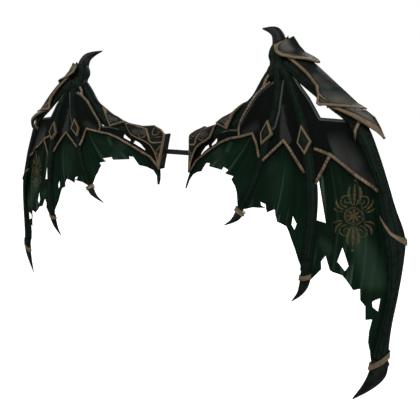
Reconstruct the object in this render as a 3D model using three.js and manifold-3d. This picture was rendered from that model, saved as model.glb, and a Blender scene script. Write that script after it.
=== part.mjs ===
// A pair of costume dragon wings worn on the back, joined by one bar between their roots.
// Millimetres, +Z up, the wearer faces +Y. The origin is the middle of the bar's front face.
// One wing is built on the +X side, and the other is its mirror image.
import * as THREE from 'three';
import Module from 'manifold-3d';
import { mergeVertices } from 'three/addons/utils/BufferGeometryUtils.js';

const wasm = await Module();
wasm.setup();

// Overall sizes, mm
const HALF_SPAN = 600;
const WING_HEIGHT = 760;
const SWEEP_DEPTH = 209;
const LEAN_DEPTH = 248;
const BOW_DEPTH = 23;
const ROOT_SETBACK = 31;

// Walls and clearances, mm
const CLEARANCE = 0.35;
const MEMBRANE_WALL = 1.6;
const WEB_WALL = 2.4;
const TRIM_WALL = 2.4;
const PLATE_WALL = 3;
const RING_WALL = 2.6;
const LAP = 8;

// Widths and depths of the pieces that the tables take shares of, mm
const BONE_WIDTH = 20;
const BONE_DEPTH = 15;
const ARM_WIDTH = 44;
const ARM_DEPTH = 32;
const BLADE_WIDTH = 36;
const BLADE_DEPTH = 16;
const BLADE_ANGLE_DEG = -34;
const TRIM_WIDTH = 6.5;
const RING_LENGTH = 10;
const STRAP_WIDTH = 9;
const COLLAR_WIDTH = 31;
const COLLAR_DEPTH = 21;
const DIAMOND_HEIGHT = 11;
const PLATE_CROWN = 12;
const SAG_DEPTH = 4;
const FOLD_HEIGHT = 9;
const STAND_OFF = 20;
const ROOT_WALL_DEPTH = 30;
const BAR_HEIGHT = 14;
const BAR_DEPTH = 8;

// Shape of the curved sheet that a wing lies on
const SWEEP_EASE_RATIO = 0.341;
const SWEEP_RISE_RATIO = 0.056;
const LEAN_FADE_RATIO = 0.898;

// Layers of the sheet, as distances behind its middle, mm
const WEB_BACK = MEMBRANE_WALL / 2 + CLEARANCE;
const WEB_FRONT = WEB_BACK + WEB_WALL;
const TRIM_BACK = WEB_FRONT + CLEARANCE;
const TRIM_FRONT = TRIM_BACK + TRIM_WALL;

const SECTION_SIDES = 6;
const SECTION_START = Math.PI / 6;
const MITRE_RATIO = 2.2;
const MERGE_DISTANCE = 1e-4;
const NORMAL_STEP = 0.01;

// A table's rows become objects with the named columns.
function table(columns, rows) {
  return rows.map((row) => Object.fromEntries(columns.map((name, index) => [name, row[index]])));
}

// Centre lines. out is a share of the half span, up of the wing height and proud of STAND_OFF,
// behind the sheet. width and depth are shares of the bone's own sizes.
const LINE = ['out', 'up', 'proud', 'width', 'depth'];

const ARM = table(LINE, [
  [0.512, 0.272, -0.65, 0.76, 0.82],
  [0.476, 0.236, -0.65, 0.72, 0.80],
  [0.440, 0.186, -0.65, 0.72, 0.78],
  [0.394, 0.147, -0.55, 0.92, 0.70],
  [0.335, 0.116, -0.30, 0.95, 0.62],
  [0.260, 0.092, -0.15, 0.84, 0.56],
  [0.180, 0.077, -0.10, 0.74, 0.50],
  [0.104, 0.040, 0.00, 0.56, 0.46],
]);

const KNUCKLE = table(LINE, [
  [0.524, 0.236, -0.10, 0.60, 0.78],
  [0.521, 0.257, -0.40, 1.00, 1.20],
  [0.521, 0.276, -0.60, 0.94, 1.16],
  [0.516, 0.291, -0.70, 0.80, 1.02],
  [0.512, 0.307, -0.75, 1.00, 1.16],
  [0.510, 0.326, -0.80, 0.94, 1.08],
  [0.506, 0.340, -0.85, 0.72, 0.86],
]);

const KNUCKLE_SPIKE = table(LINE, [
  [0.532, 0.322, -0.50, 0.36, 0.42],
  [0.536, 0.340, -0.65, 0.20, 0.24],
  [0.539, 0.351, -0.70, 0.04, 0.05],
]);

const THUMB_CLAW = table(LINE, [
  [0.506, 0.326, -0.80, 0.70, 0.80],
  [0.502, 0.344, -0.85, 0.68, 0.76],
  [0.486, 0.366, -0.90, 0.52, 0.58],
  [0.458, 0.380, -1.00, 0.32, 0.38],
  [0.411, 0.393, -1.10, 0.05, 0.06],
]);

const FINGER_INNER = table(LINE, [
  [0.531, 0.252, 0.10, 0.90, 1.05],
  [0.539, 0.210, 0.10, 0.90, 1.00],
  [0.536, 0.155, 0.10, 0.86, 0.98],
  [0.519, 0.098, 0.10, 0.90, 1.00],
  [0.509, 0.040, 0.10, 0.88, 0.96],
  [0.497, -0.008, 0.10, 0.80, 0.86],
  [0.475, -0.064, 0.05, 0.66, 0.76],
  [0.450, -0.112, 0.00, 0.55, 0.68],
  [0.432, -0.143, 0.00, 0.56, 0.68],
  [0.424, -0.156, -0.05, 0.98, 0.95],
  [0.412, -0.170, -0.10, 0.84, 0.84],
  [0.388, -0.187, -0.20, 0.44, 0.50],
  [0.350, -0.206, -0.35, 0.08, 0.10],
]);

const FINGER_MIDDLE = table(LINE, [
  [0.545, 0.262, 0.10, 0.95, 1.10],
  [0.577, 0.226, 0.10, 0.78, 0.98],
  [0.618, 0.163, 0.10, 0.80, 0.96],
  [0.650, 0.100, 0.10, 0.92, 0.98],
  [0.674, 0.034, 0.10, 1.02, 1.00],
  [0.697, -0.040, 0.10, 1.18, 1.00],
  [0.709, -0.110, 0.05, 1.08, 0.94],
  [0.711, -0.190, 0.00, 0.98, 0.88],
  [0.712, -0.282, -0.15, 0.98, 0.92],
  [0.713, -0.306, -0.30, 1.06, 1.00],
  [0.709, -0.328, -0.45, 0.92, 0.88],
  [0.697, -0.355, -0.65, 0.52, 0.56],
  [0.672, -0.386, -0.90, 0.08, 0.10],
]);

const BLADE = [...LINE, 'turn'];
const FINGER_OUTER = table(BLADE, [
  [0.545, 0.284, -0.30, 0.84, 1.10, 1],
  [0.588, 0.261, -0.50, 0.88, 1.10, 1],
  [0.636, 0.231, -0.65, 0.88, 1.10, 1],
  [0.686, 0.201, -0.75, 0.88, 1.10, 1],
  [0.733, 0.172, -0.85, 0.86, 1.05, 1],
  [0.783, 0.142, -0.85, 0.82, 1.00, 1],
  [0.823, 0.101, -0.75, 0.76, 1.00, 1],
  [0.861, 0.047, -0.75, 0.66, 0.95, 1],
  [0.901, -0.018, -0.65, 0.58, 0.92, 1],
  [0.930, -0.079, -0.50, 0.74, 0.92, 1],
  [0.960, -0.146, -0.35, 1.08, 0.95, 1],
  [0.974, -0.205, -0.20, 0.84, 0.92, 1],
  [0.982, -0.290, 0.00, 0.56, 0.88, 0.9],
  [0.981, -0.370, 0.20, 0.50, 0.90, 0.6],
  [0.980, -0.437, 0.40, 0.64, 0.95, 0.3],
  [0.981, -0.491, 0.50, 0.84, 1.05, 0.1],
  [0.976, -0.524, 0.50, 0.76, 0.90, 0],
  [0.954, -0.566, 0.55, 0.44, 0.58, 0],
  [0.920, -0.611, 0.60, 0.06, 0.10, 0],
]);

// Each finger is cut here into the bone and its claw. The ring round the cut runs from
// its inner end to its outer end.
const FLAT = ['out', 'up'];
const RING_INNER = table(FLAT, [[0.402, -0.151], [0.457, -0.141]]);
const RING_MIDDLE = table(FLAT, [[0.688, -0.303], [0.737, -0.286]]);
const RING_OUTER = table(FLAT, [[0.950, -0.503], [1.030, -0.424]]);
const RING_BLADE = table(FLAT, [[0.912, -0.098], [0.945, -0.130], [1.020, -0.166]]);
const STRAP_BLADE = table(FLAT, [[0.815, 0.134], [0.805, 0.105], [0.808, 0.081], [0.829, 0.056]]);

// The inner edge of the inner panel follows the arm, then the root down to its tip.
const EDGE = ['out', 'up', 'proud'];
const ROOT_LINE = table(EDGE, [
  [0.500, 0.252, 0.05], [0.441, 0.186, 0.25], [0.396, 0.145, 0.25], [0.335, 0.112, 0.10],
  [0.260, 0.085, 0.00], [0.180, 0.068, -0.05], [0.098, 0.036, 0.00], [0.070, -0.050, 0.15],
  [0.066, -0.140, 0.60],
]);

// Folds of a panel: across is the place between its two bones, from and to are shares of
// the way down, width is a share of the panel's breadth and height is a share of FOLD_HEIGHT.
const FOLD = ['across', 'width', 'height', 'from', 'to'];
const BAYS = {
  inner: {
    inner: ROOT_LINE,
    outer: FINGER_INNER,
    cells: { across: 6, down: 5 },
    folds: table(FOLD, [
      [0.667, 0.11, 1.10, 0.30, 0.95],
      [0.333, 0.12, 0.55, 0.45, 1.00],
      [0.833, 0.08, -0.45, 0.30, 0.90],
    ]),
  },
  middle: {
    inner: FINGER_INNER,
    outer: FINGER_MIDDLE,
    cells: { across: 6, down: 5 },
    folds: table(FOLD, [
      [0.50, 0.10, 1.15, 0.38, 0.85],
      [0.333, 0.08, -0.40, 0.40, 0.90],
      [0.833, 0.10, -0.50, 0.40, 0.90],
      [0.00, 0.16, 1.00, 0.04, 0.27],
    ]),
  },
  outer: {
    inner: FINGER_MIDDLE,
    outer: FINGER_OUTER,
    cells: { across: 6, down: 6 },
    folds: table(FOLD, [
      [0.333, 0.09, 0.75, 0.30, 0.95],
      [0.667, 0.09, 0.90, 0.25, 0.95],
      [0.833, 0.08, -0.60, 0.25, 0.95],
    ]),
  },
};

// Gold trims along the lower edges of the webs
const TRIM_INNER = table(FLAT, [
  [0.091, -0.066], [0.138, -0.019], [0.215, 0.020], [0.298, 0.057], [0.341, 0.070],
  [0.391, 0.077], [0.453, 0.090], [0.471, 0.066], [0.492, 0.022],
]);
const TRIM_ARM = table(FLAT, [
  [0.391, 0.077], [0.384, 0.096], [0.388, 0.116], [0.404, 0.139], [0.426, 0.166],
  [0.450, 0.195], [0.480, 0.216], [0.507, 0.229],
]);
const TRIM_ARM_FORK = table(FLAT, [[0.480, 0.216], [0.487, 0.237], [0.497, 0.250]]);
const TRIM_MIDDLE = table(FLAT, [
  [0.510, 0.016], [0.540, 0.041], [0.581, 0.074], [0.607, 0.053], [0.668, -0.006],
]);
const TRIM_OUTER = table(FLAT, [
  [0.709, -0.030], [0.728, 0.012], [0.743, 0.045], [0.808, 0.009], [0.895, -0.036],
]);
const TRIM_OUTER_STRAP = table(FLAT, [[0.690, 0.058], [0.743, 0.045]]);

// Upper outlines of the webs, from the end of the trim round to its start
const WEB_INNER_TOP = table(FLAT, [
  [0.509, 0.040], [0.519, 0.098], [0.536, 0.155], [0.539, 0.210], [0.525, 0.236],
  [0.480, 0.216], [0.450, 0.195], [0.426, 0.166], [0.404, 0.139], [0.388, 0.116],
  [0.372, 0.100], [0.335, 0.100], [0.260, 0.086], [0.180, 0.068], [0.105, 0.036], [0.082, -0.010],
]);
const WEB_INNER_WINDOWS = [
  table(FLAT, [[0.266, 0.069], [0.269, 0.058], [0.256, 0.042], [0.239, 0.034], [0.235, 0.047], [0.249, 0.056]]),
  table(FLAT, [[0.214, 0.044], [0.221, 0.034], [0.189, 0.018], [0.156, -0.006], [0.168, 0.012], [0.192, 0.034]]),
];
const WEB_MIDDLE_TOP = table(FLAT, [
  [0.684, 0.000], [0.674, 0.034], [0.650, 0.100], [0.618, 0.163], [0.577, 0.226], [0.552, 0.250],
  [0.549, 0.205], [0.547, 0.150], [0.538, 0.112], [0.519, 0.098], [0.509, 0.040],
]);
const WEB_OUTER_TOP = table(FLAT, [
  [0.900, -0.020], [0.858, 0.045], [0.820, 0.100], [0.790, 0.132], [0.762, 0.131], [0.697, 0.135],
  [0.654, 0.184], [0.612, 0.222], [0.598, 0.236], [0.577, 0.226], [0.618, 0.163], [0.650, 0.100],
  [0.684, -0.006],
]);

// Torn lower edges of the membranes, from the outer bone to the inner one
const MEMBRANE_INNER_EDGE = table(FLAT, [
  [0.440, -0.143], [0.418, -0.138], [0.411, -0.117], [0.404, -0.096], [0.389, -0.073],
  [0.372, -0.055], [0.381, -0.044], [0.340, -0.038], [0.357, -0.026], [0.322, -0.021],
  [0.313, -0.032], [0.234, -0.029], [0.236, -0.017], [0.214, -0.019], [0.199, -0.035],
  [0.185, -0.051], [0.150, -0.059], [0.120, -0.072], [0.101, -0.092], [0.089, -0.126],
  [0.079, -0.127], [0.079, -0.108], [0.084, -0.086], [0.090, -0.066],
]);
const MEMBRANE_MIDDLE_EDGE = table(FLAT, [
  [0.712, -0.282], [0.692, -0.280], [0.692, -0.267], [0.678, -0.246], [0.664, -0.223],
  [0.649, -0.199], [0.635, -0.175], [0.625, -0.162], [0.591, -0.152], [0.578, -0.118],
  [0.566, -0.123], [0.543, -0.135], [0.537, -0.122], [0.483, -0.127], [0.455, -0.136], [0.440, -0.139],
]);
const MEMBRANE_MIDDLE_HOLES = [
  table(FLAT, [[0.515, -0.106], [0.535, -0.111], [0.538, -0.122], [0.518, -0.116]]),
  table(FLAT, [[0.644, -0.130], [0.660, -0.150], [0.655, -0.168], [0.643, -0.155]]),
];
const MEMBRANE_OUTER_EDGE = table(FLAT, [
  [0.985, -0.486], [0.957, -0.482], [0.950, -0.458], [0.940, -0.435], [0.937, -0.405],
  [0.940, -0.370], [0.921, -0.374], [0.914, -0.336], [0.896, -0.319], [0.890, -0.288],
  [0.871, -0.299], [0.849, -0.280], [0.831, -0.266], [0.791, -0.257], [0.771, -0.221],
  [0.759, -0.239], [0.763, -0.262], [0.734, -0.298], [0.712, -0.296],
]);
const MEMBRANE_OUTER_HOLES = [
  table(FLAT, [[0.819, -0.189], [0.846, -0.238], [0.837, -0.253], [0.810, -0.229]]),
  table(FLAT, [[0.952, -0.306], [0.931, -0.322], [0.935, -0.337], [0.952, -0.343]]),
  table(FLAT, [[0.700, -0.022], [0.716, -0.020], [0.757, -0.132], [0.720, -0.127]]),
];

// Plates: a strip between a lower and an upper edge. crown is a share of PLATE_CROWN.
const RAILS = ['lowOut', 'lowUp', 'lowProud', 'topOut', 'topUp', 'topProud', 'crown'];
const ROOT_PLATE = table(RAILS, [
  [0.262, 0.104, 0.40, 0.274, 0.114, 0.20, 0.10],
  [0.250, 0.084, 0.40, 0.240, 0.108, 0.15, 0.70],
  [0.236, 0.064, 0.40, 0.198, 0.101, -0.05, 1.00],
  [0.208, 0.051, 0.40, 0.140, 0.106, -0.45, 1.10],
  [0.176, 0.039, 0.45, 0.108, 0.086, 0.25, 1.00],
  [0.148, 0.023, 0.50, 0.0920, 0.066, 0.85, 0.80],
  [0.128, -0.002, 0.50, 0.0940, 0.027, 0.75, 0.45],
  [0.114, -0.030, 0.50, 0.0965, -0.020, 0.62, 0.20],
  [0.106, -0.060, 0.45, 0.0990, -0.070, 0.50, 0.05],
]);
const ARM_PLATE = table(RAILS, [
  [0.266, 0.112, 0.50, 0.270, 0.118, 0.45, 0.05],
  [0.300, 0.103, 0.50, 0.298, 0.134, 0.30, 0.60],
  [0.334, 0.095, 0.50, 0.334, 0.148, 0.10, 0.80],
  [0.349, 0.122, 0.50, 0.360, 0.161, 0.00, 0.60],
  [0.362, 0.147, 0.35, 0.382, 0.174, -0.25, 0.40],
  [0.386, 0.176, -0.25, 0.392, 0.184, -0.45, 0.00],
]);
const SHOULDER_PLATE = table(RAILS, [
  [0.512, 0.322, 0.50, 0.530, 0.338, -0.50, 0.10],
  [0.526, 0.300, 0.65, 0.560, 0.348, -0.75, 0.50],
  [0.548, 0.289, 0.65, 0.583, 0.323, -0.95, 0.55],
  [0.588, 0.282, 0.30, 0.604, 0.306, -1.10, 0.40],
  [0.632, 0.278, -0.15, 0.638, 0.291, -1.20, 0.20],
  [0.655, 0.274, -1.05, 0.657, 0.279, -1.30, 0.00],
]);
const LONG_PLATE = table(RAILS, [
  [0.560, 0.288, 0.15, 0.594, 0.304, -0.80, 0.45],
  [0.600, 0.264, 0.10, 0.632, 0.282, -0.95, 0.60],
  [0.635, 0.241, 0.05, 0.664, 0.261, -1.05, 0.75],
  [0.669, 0.212, 0.05, 0.702, 0.235, -1.10, 0.85],
  [0.680, 0.190, 0.15, 0.745, 0.206, -1.15, 0.90],
  [0.681, 0.168, 0.25, 0.795, 0.172, -1.15, 0.90],
  [0.690, 0.163, 0.30, 0.824, 0.159, -1.15, 0.80],
]);
const SPIKE_PLATE = table(RAILS, [
  [0.712, 0.160, -0.05, 0.724, 0.168, -0.30, 0.00],
  [0.745, 0.153, 0.00, 0.766, 0.168, -0.90, 0.50],
  [0.790, 0.137, 0.00, 0.820, 0.156, -1.30, 0.85],
  [0.828, 0.120, -0.15, 0.849, 0.139, -1.30, 0.70],
  [0.860, 0.104, -0.70, 0.867, 0.118, -1.35, 0.30],
  [0.884, 0.088, -1.30, 0.886, 0.091, -1.40, 0.00],
]);
const ROOT_EDGE_ROWS = 4;

const DIAMOND_INNER = table(EDGE, [
  [0.520, 0.125, 0.12], [0.496, 0.089, 0.05], [0.504, 0.058, 0.12], [0.542, 0.088, 0.05],
]);
const DIAMOND_MIDDLE = table(EDGE, [
  [0.644, 0.114, 0.12], [0.636, 0.069, 0.05], [0.667, 0.041, 0.12], [0.682, 0.075, 0.05],
]);
const DIAMOND_LAYERS = table(['scale', 'rise'], [[1, 0], [1, 0.80], [0.76, 0.80], [0.68, 0.66]]);

const clamp01 = (value) => Math.min(1, Math.max(0, value));
const mix = (a, b, share) => a + (b - a) * share;
const mixRows = (a, b, share) => (
  Object.fromEntries(Object.keys(a).map((name) => [name, mix(a[name], b[name], share)])));

// How far in front of the origin the sheet lies at a place on it
function sheetDepth(out, up) {
  const sweep = SWEEP_DEPTH * (1 - Math.exp(-out / SWEEP_EASE_RATIO) - SWEEP_RISE_RATIO * out);
  const lean = LEAN_DEPTH * up * (1 - LEAN_FADE_RATIO * out);
  return ROOT_SETBACK - sweep + lean - BOW_DEPTH * up * up;
}

function sheetPoint(out, up) {
  return new THREE.Vector3(out * HALF_SPAN, sheetDepth(out, up), up * WING_HEIGHT);
}

// Unit normal of the sheet, towards the back of the wing
function sheetNormal(out, up) {
  const across = sheetPoint(out + NORMAL_STEP, up).sub(sheetPoint(out - NORMAL_STEP, up));
  const upward = sheetPoint(out, up + NORMAL_STEP).sub(sheetPoint(out, up - NORMAL_STEP));
  return across.cross(upward).normalize();
}

// The point at a distance in millimetres behind a place on the sheet
function place(out, up, proud) {
  return sheetPoint(out, up).addScaledVector(sheetNormal(out, up), proud);
}

// A closed solid from points and triangles, turned to face out
function closedSolid(points, triangles) {
  let volume = 0;
  for (const [a, b, c] of triangles) {
    volume += points[a].dot(new THREE.Vector3().crossVectors(points[b], points[c]));
  }
  const ordered = volume < 0 ? triangles.map(([a, b, c]) => [a, c, b]) : triangles;
  return new wasm.Manifold(new wasm.Mesh({
    numProp: 3,
    vertProperties: new Float32Array(points.flatMap((point) => point.toArray())),
    triVerts: new Uint32Array(ordered.flat()),
  }));
}

// A solid between rings of points, with a point at each end
function loft(rings, startPoint, endPoint) {
  const sides = rings[0].length;
  const points = [...rings.flat(), startPoint, endPoint];
  const start = points.length - 2;
  const end = points.length - 1;
  const last = (rings.length - 1) * sides;
  const triangles = [];
  for (let side = 0; side < sides; side += 1) {
    const next = (side + 1) % sides;
    triangles.push([start, next, side], [end, last + side, last + next]);
    for (let ring = 0; ring < rings.length - 1; ring += 1) {
      const here = ring * sides;
      const there = here + sides;
      triangles.push([here + side, here + next, there + side]);
      triangles.push([here + next, there + next, there + side]);
    }
  }
  return closedSolid(points, triangles);
}

// Directions of a bone's section: along the bone, across it and out of its back
function boneFrame(centres, rows, index, turn) {
  const before = centres[Math.max(0, index - 1)];
  const after = centres[Math.min(centres.length - 1, index + 1)];
  const along = after.clone().sub(before).normalize();
  const back = sheetNormal(rows[index].out, rows[index].up);
  back.addScaledVector(along, -back.dot(along)).normalize();
  back.applyAxisAngle(along, THREE.MathUtils.degToRad(turn * (rows[index].turn ?? 0)));
  const across = new THREE.Vector3().crossVectors(along, back);
  return { along, across, back };
}

// A tapering bone along a centre line, larger all round by grow
function boneSolid(rows, { width, depth, turn = 0, grow = 0 }) {
  const centres = rows.map((row) => place(row.out, row.up, row.proud * STAND_OFF));
  const frames = rows.map((row, index) => boneFrame(centres, rows, index, turn));
  const rings = rows.map((row, index) => {
    const { along, across, back } = frames[index];
    const atEnd = Number(index === rows.length - 1) - Number(index === 0);
    const centre = centres[index].clone().addScaledVector(along, atEnd * grow);
    return Array.from({ length: SECTION_SIDES }, (_, side) => {
      const angle = SECTION_START + (side / SECTION_SIDES) * Math.PI * 2;
      return centre.clone()
        .addScaledVector(across, Math.cos(angle) / Math.cos(SECTION_START) * (row.width * width / 2 + grow))
        .addScaledVector(back, Math.sin(angle) * (row.depth * depth / 2 + grow));
    });
  });
  const middle = (ring) => (
    ring.reduce((sum, point) => sum.add(point), new THREE.Vector3()).divideScalar(ring.length));
  return loft(rings, middle(rings[0]), middle(rings[rings.length - 1]));
}

// A closed sheet of cells between a back and a front grid of points
function gridSolid(backs, fronts) {
  const rows = backs.length;
  const columns = backs[0].length;
  const points = [...backs.flat(), ...fronts.flat()];
  const offset = rows * columns;
  const at = (row, column) => row * columns + column;
  const triangles = [];
  for (let row = 0; row < rows - 1; row += 1) {
    for (let column = 0; column < columns - 1; column += 1) {
      const a = at(row, column);
      const b = at(row, column + 1);
      const c = at(row + 1, column + 1);
      const d = at(row + 1, column);
      triangles.push([a, b, c], [a, c, d]);
      triangles.push([a + offset, c + offset, b + offset], [a + offset, d + offset, c + offset]);
    }
  }
  const wall = (a, b) => triangles.push([a, b + offset, b], [a, a + offset, b + offset]);
  for (let column = 0; column < columns - 1; column += 1) {
    wall(at(0, column), at(0, column + 1));
    wall(at(rows - 1, column + 1), at(rows - 1, column));
  }
  for (let row = 0; row < rows - 1; row += 1) {
    wall(at(row, columns - 1), at(row + 1, columns - 1));
    wall(at(row + 1, 0), at(row, 0));
  }
  return closedSolid(points, triangles);
}

// A place on a line at a share of its length
function alongLine(rows, share) {
  const lengths = rows.slice(1).map((row, index) => (
    Math.hypot(row.out - rows[index].out, row.up - rows[index].up)));
  const total = lengths.reduce((sum, length) => sum + length, 0);
  let rest = clamp01(share) * total;
  let index = 0;
  while (index < lengths.length - 1 && rest > lengths[index]) {
    rest -= lengths[index];
    index += 1;
  }
  return mixRows(rows[index], rows[index + 1], rest / lengths[index]);
}

// Height of a panel's folds, with a sag towards the wearer between its bones
function foldHeight(bay, across, down) {
  const sag = SAG_DEPTH * Math.sin(Math.PI * across) * Math.sin(Math.PI * clamp01(down) * 0.5);
  const folds = bay.folds.map((fold) => {
    const reach = Math.max(0, 1 - Math.abs(across - fold.across) / (2 * fold.width));
    const along = clamp01((down - fold.from) / (fold.to - fold.from));
    return FOLD_HEIGHT * fold.height * reach * reach * Math.sin(Math.PI * along) ** 0.5;
  });
  return folds.reduce((sum, height) => sum + height, -sag);
}

// One layer of a panel, between two distances behind the sheet
function baySolid(bay, back, front) {
  const { across: columns, down: rows } = bay.cells;
  const grid = (proud) => Array.from({ length: rows + 1 }, (_, row) => {
    const down = row / rows;
    const inner = alongLine(bay.inner, down);
    const outer = alongLine(bay.outer, down);
    return Array.from({ length: columns + 1 }, (__, column) => {
      const across = column / columns;
      const out = mix(inner.out, outer.out, across);
      const up = mix(inner.up, outer.up, across);
      const behind = mix(inner.proud, outer.proud, across) * STAND_OFF;
      return place(out, up, proud + behind + foldHeight(bay, across, down));
    });
  });
  return gridSolid(grid(back), grid(front));
}

const flatPoint = (row) => new THREE.Vector2(row.out * HALF_SPAN, row.up * WING_HEIGHT);

// An outline in the plane of the wing, pushed through the whole depth of the wing
function prism(outline) {
  const reach = 2 * (SWEEP_DEPTH + LEAN_DEPTH);
  const geometry = new THREE.ExtrudeGeometry(new THREE.Shape(outline), { depth: reach, bevelEnabled: false });
  geometry.rotateX(Math.PI / 2);
  geometry.translate(0, reach / 2, 0);
  geometry.deleteAttribute('normal');
  geometry.deleteAttribute('uv');
  const merged = mergeVertices(geometry, MERGE_DISTANCE);
  const position = merged.getAttribute('position');
  const points = Array.from({ length: position.count }, (_, index) => (
    new THREE.Vector3().fromBufferAttribute(position, index)));
  const corners = Array.from(merged.index.array);
  const triangles = Array.from({ length: corners.length / 3 }, (_, index) => (
    corners.slice(index * 3, index * 3 + 3)));
  return closedSolid(points, triangles);
}

const outlineOf = (rows) => rows.map(flatPoint);

// The outline of a strip of one width along a line, with pointed corners
function ribbon(rows, width) {
  const line = rows.map(flatPoint);
  const sideAt = (index) => {
    const before = line[Math.max(0, index - 1)];
    const here = line[index];
    const after = line[Math.min(line.length - 1, index + 1)];
    const arriving = here.clone().sub(before).normalize();
    const leaving = after.clone().sub(here).normalize();
    const first = index === 0 ? leaving : arriving;
    const second = index === line.length - 1 ? arriving : leaving;
    const normal = new THREE.Vector2(-first.y - second.y, first.x + second.x).normalize();
    const stretch = 1 / Math.max(1 / MITRE_RATIO, Math.abs(normal.x * -first.y + normal.y * first.x));
    return normal.multiplyScalar(stretch * width / 2);
  };
  const left = line.map((point, index) => point.clone().add(sideAt(index)));
  const right = line.map((point, index) => point.clone().sub(sideAt(index)));
  return [...left, ...right.reverse()];
}

// The largest connected body of a solid
function largest(body) {
  const bodies = body.decompose();
  return bodies.reduce((best, other) => (other.volume() > best.volume() ? other : best));
}

function cutBy(body, cutters) {
  return largest(cutters.reduce((rest, cutter) => rest.subtract(cutter), body));
}

// A plate's rows with both ends moved out by a distance
function lengthened(rows, distance) {
  const moved = (end, next) => {
    const run = Math.hypot((end.lowOut - next.lowOut) * HALF_SPAN, (end.lowUp - next.lowUp) * WING_HEIGHT);
    return mixRows(end, next, -distance / run);
  };
  const last = rows.length - 1;
  return [moved(rows[0], rows[1]), ...rows.slice(1, last), moved(rows[last], rows[last - 1])];
}

// A thin curved plate between two edges, larger all round by grow
function plateSolid(rows, { cells = 3, grow = 0 } = {}) {
  const grid = (lift) => lengthened(rows, grow).map((row) => {
    const breadth = Math.hypot((row.topOut - row.lowOut) * HALF_SPAN, (row.topUp - row.lowUp) * WING_HEIGHT);
    const overhang = grow / breadth;
    return Array.from({ length: cells + 1 }, (_, index) => {
      const share = mix(-overhang, 1 + overhang, index / cells);
      const crown = row.crown * PLATE_CROWN * 4 * share * (1 - share);
      const behind = mix(row.lowProud, row.topProud, share) * STAND_OFF;
      const out = mix(row.lowOut, row.topOut, share);
      const up = mix(row.lowUp, row.topUp, share);
      return place(out, up, behind + crown + lift);
    });
  });
  return gridSolid(grid(-PLATE_WALL - grow), grid(grow));
}

// The flat end wall of the root plate, from the plate's root edge towards the wearer
function rootWallSolid(grow = 0) {
  const rows = ROOT_PLATE.slice(-ROOT_EDGE_ROWS);
  const wall = (inset, from, to) => rows.map((row) => {
    const edge = place(row.topOut, row.topUp, row.topProud * STAND_OFF - PLATE_WALL);
    edge.x += inset;
    return [edge.clone().setY(edge.y + from), edge.clone().setY(edge.y + to)];
  });
  const reach = [-PLATE_WALL / 2 - grow, ROOT_WALL_DEPTH + grow];
  return gridSolid(wall(-grow, ...reach), wall(PLATE_WALL + grow, ...reach));
}

function rootPlateSolid(grow = 0) {
  return plateSolid(ROOT_PLATE, { grow }).add(rootWallSolid(grow));
}

function armSolid(grow = 0) {
  const size = { width: ARM_WIDTH, depth: ARM_DEPTH, grow };
  const parts = [ARM, KNUCKLE, KNUCKLE_SPIKE].map((rows) => boneSolid(rows, size));
  return parts.reduce((sum, part) => sum.add(part));
}

const thumbSolid = () => boneSolid(THUMB_CLAW, { width: ARM_WIDTH, depth: ARM_DEPTH });

const BONE_SIZE = { width: BONE_WIDTH, depth: BONE_DEPTH };
const BLADE_SIZE = { width: BLADE_WIDTH, depth: BLADE_DEPTH, turn: BLADE_ANGLE_DEG };
const BONES = {
  inner: (grow) => boneSolid(FINGER_INNER, { ...BONE_SIZE, grow }),
  middle: (grow) => boneSolid(FINGER_MIDDLE, { ...BONE_SIZE, grow }),
  outer: (grow) => boneSolid(FINGER_OUTER, { ...BLADE_SIZE, grow }),
};

// The strip of a bone under its ring, that parts the bone from its claw
const cutLine = (ring) => prism(ribbon(ring, CLEARANCE));

function boneAndClaw(bone, ring, armCutter) {
  const parts = bone.subtract(armCutter).subtract(cutLine(ring)).decompose();
  const byHeight = parts.sort((a, b) => b.volume() - a.volume()).slice(0, 2);
  const top = (part) => part.boundingBox().max[2];
  byHeight.sort((a, b) => top(b) - top(a));
  return byHeight;
}

// A band round a bone: its grown form without the bone, within a strip across it
function bandSolid(bone, line, width) {
  const shell = bone(CLEARANCE + RING_WALL).subtract(bone(CLEARANCE));
  return largest(shell.intersect(prism(ribbon(line, width))));
}

// The wide flat collar round the thin end of the inner finger
function collarSolid(grow = 0) {
  const middle = alongLine(RING_INNER, 0.5);
  const rows = [-0.5, 0.5].map((end) => ({
    out: middle.out - end * RING_LENGTH / HALF_SPAN / 2,
    up: middle.up - end * RING_LENGTH / WING_HEIGHT,
    proud: 0,
    width: 1,
    depth: 1,
  }));
  const whole = boneSolid(rows, { width: COLLAR_WIDTH, depth: COLLAR_DEPTH, grow });
  return grow > 0 ? whole : cutBy(whole, [BONES.inner(CLEARANCE)]);
}

// A faceted diamond boss with a raised rim, larger all round by grow
function diamondSolid(corners, grow = 0) {
  const middle = { out: 0, up: 0, proud: 0 };
  for (const corner of corners) {
    for (const name of EDGE) {
      middle[name] += corner[name] / corners.length;
    }
  }
  const radius = flatPoint(middle).distanceTo(flatPoint(corners[0]));
  const spot = (row, height) => place(row.out, row.up, row.proud * STAND_OFF + TRIM_BACK + height);
  const heightOf = ({ rise }) => (rise > 0 ? rise * DIAMOND_HEIGHT + grow : -grow);
  const rings = DIAMOND_LAYERS.map((layer) => corners.map((corner) => (
    spot(mixRows(middle, corner, layer.scale + 2 * grow / radius), heightOf(layer)))));
  return loft(rings, spot(middle, -grow), spot(middle, DIAMOND_HEIGHT + grow));
}

function panelSolid(bay, [back, front], outline, holes, cutters) {
  const body = baySolid(bay, back, front).intersect(prism(outline));
  return cutBy(body, [...holes.map((hole) => prism(outlineOf(hole))), ...cutters]);
}

const raised = (rows) => rows.map(({ out, up }) => ({ out, up: up + LAP / WING_HEIGHT }));

// The part of a bone's centre line that lies between two points, from the first to the second
function boneSide(rows, first, second) {
  const between = rows.filter(({ up }) => (up - first.up) * (up - second.up) < 0);
  return first.up < second.up ? between.reverse() : between;
}

function webSolid(bay, trim, top, windows, cutters) {
  return panelSolid(bay, [WEB_BACK, WEB_FRONT], outlineOf([...trim, ...top]), windows, cutters);
}

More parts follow.
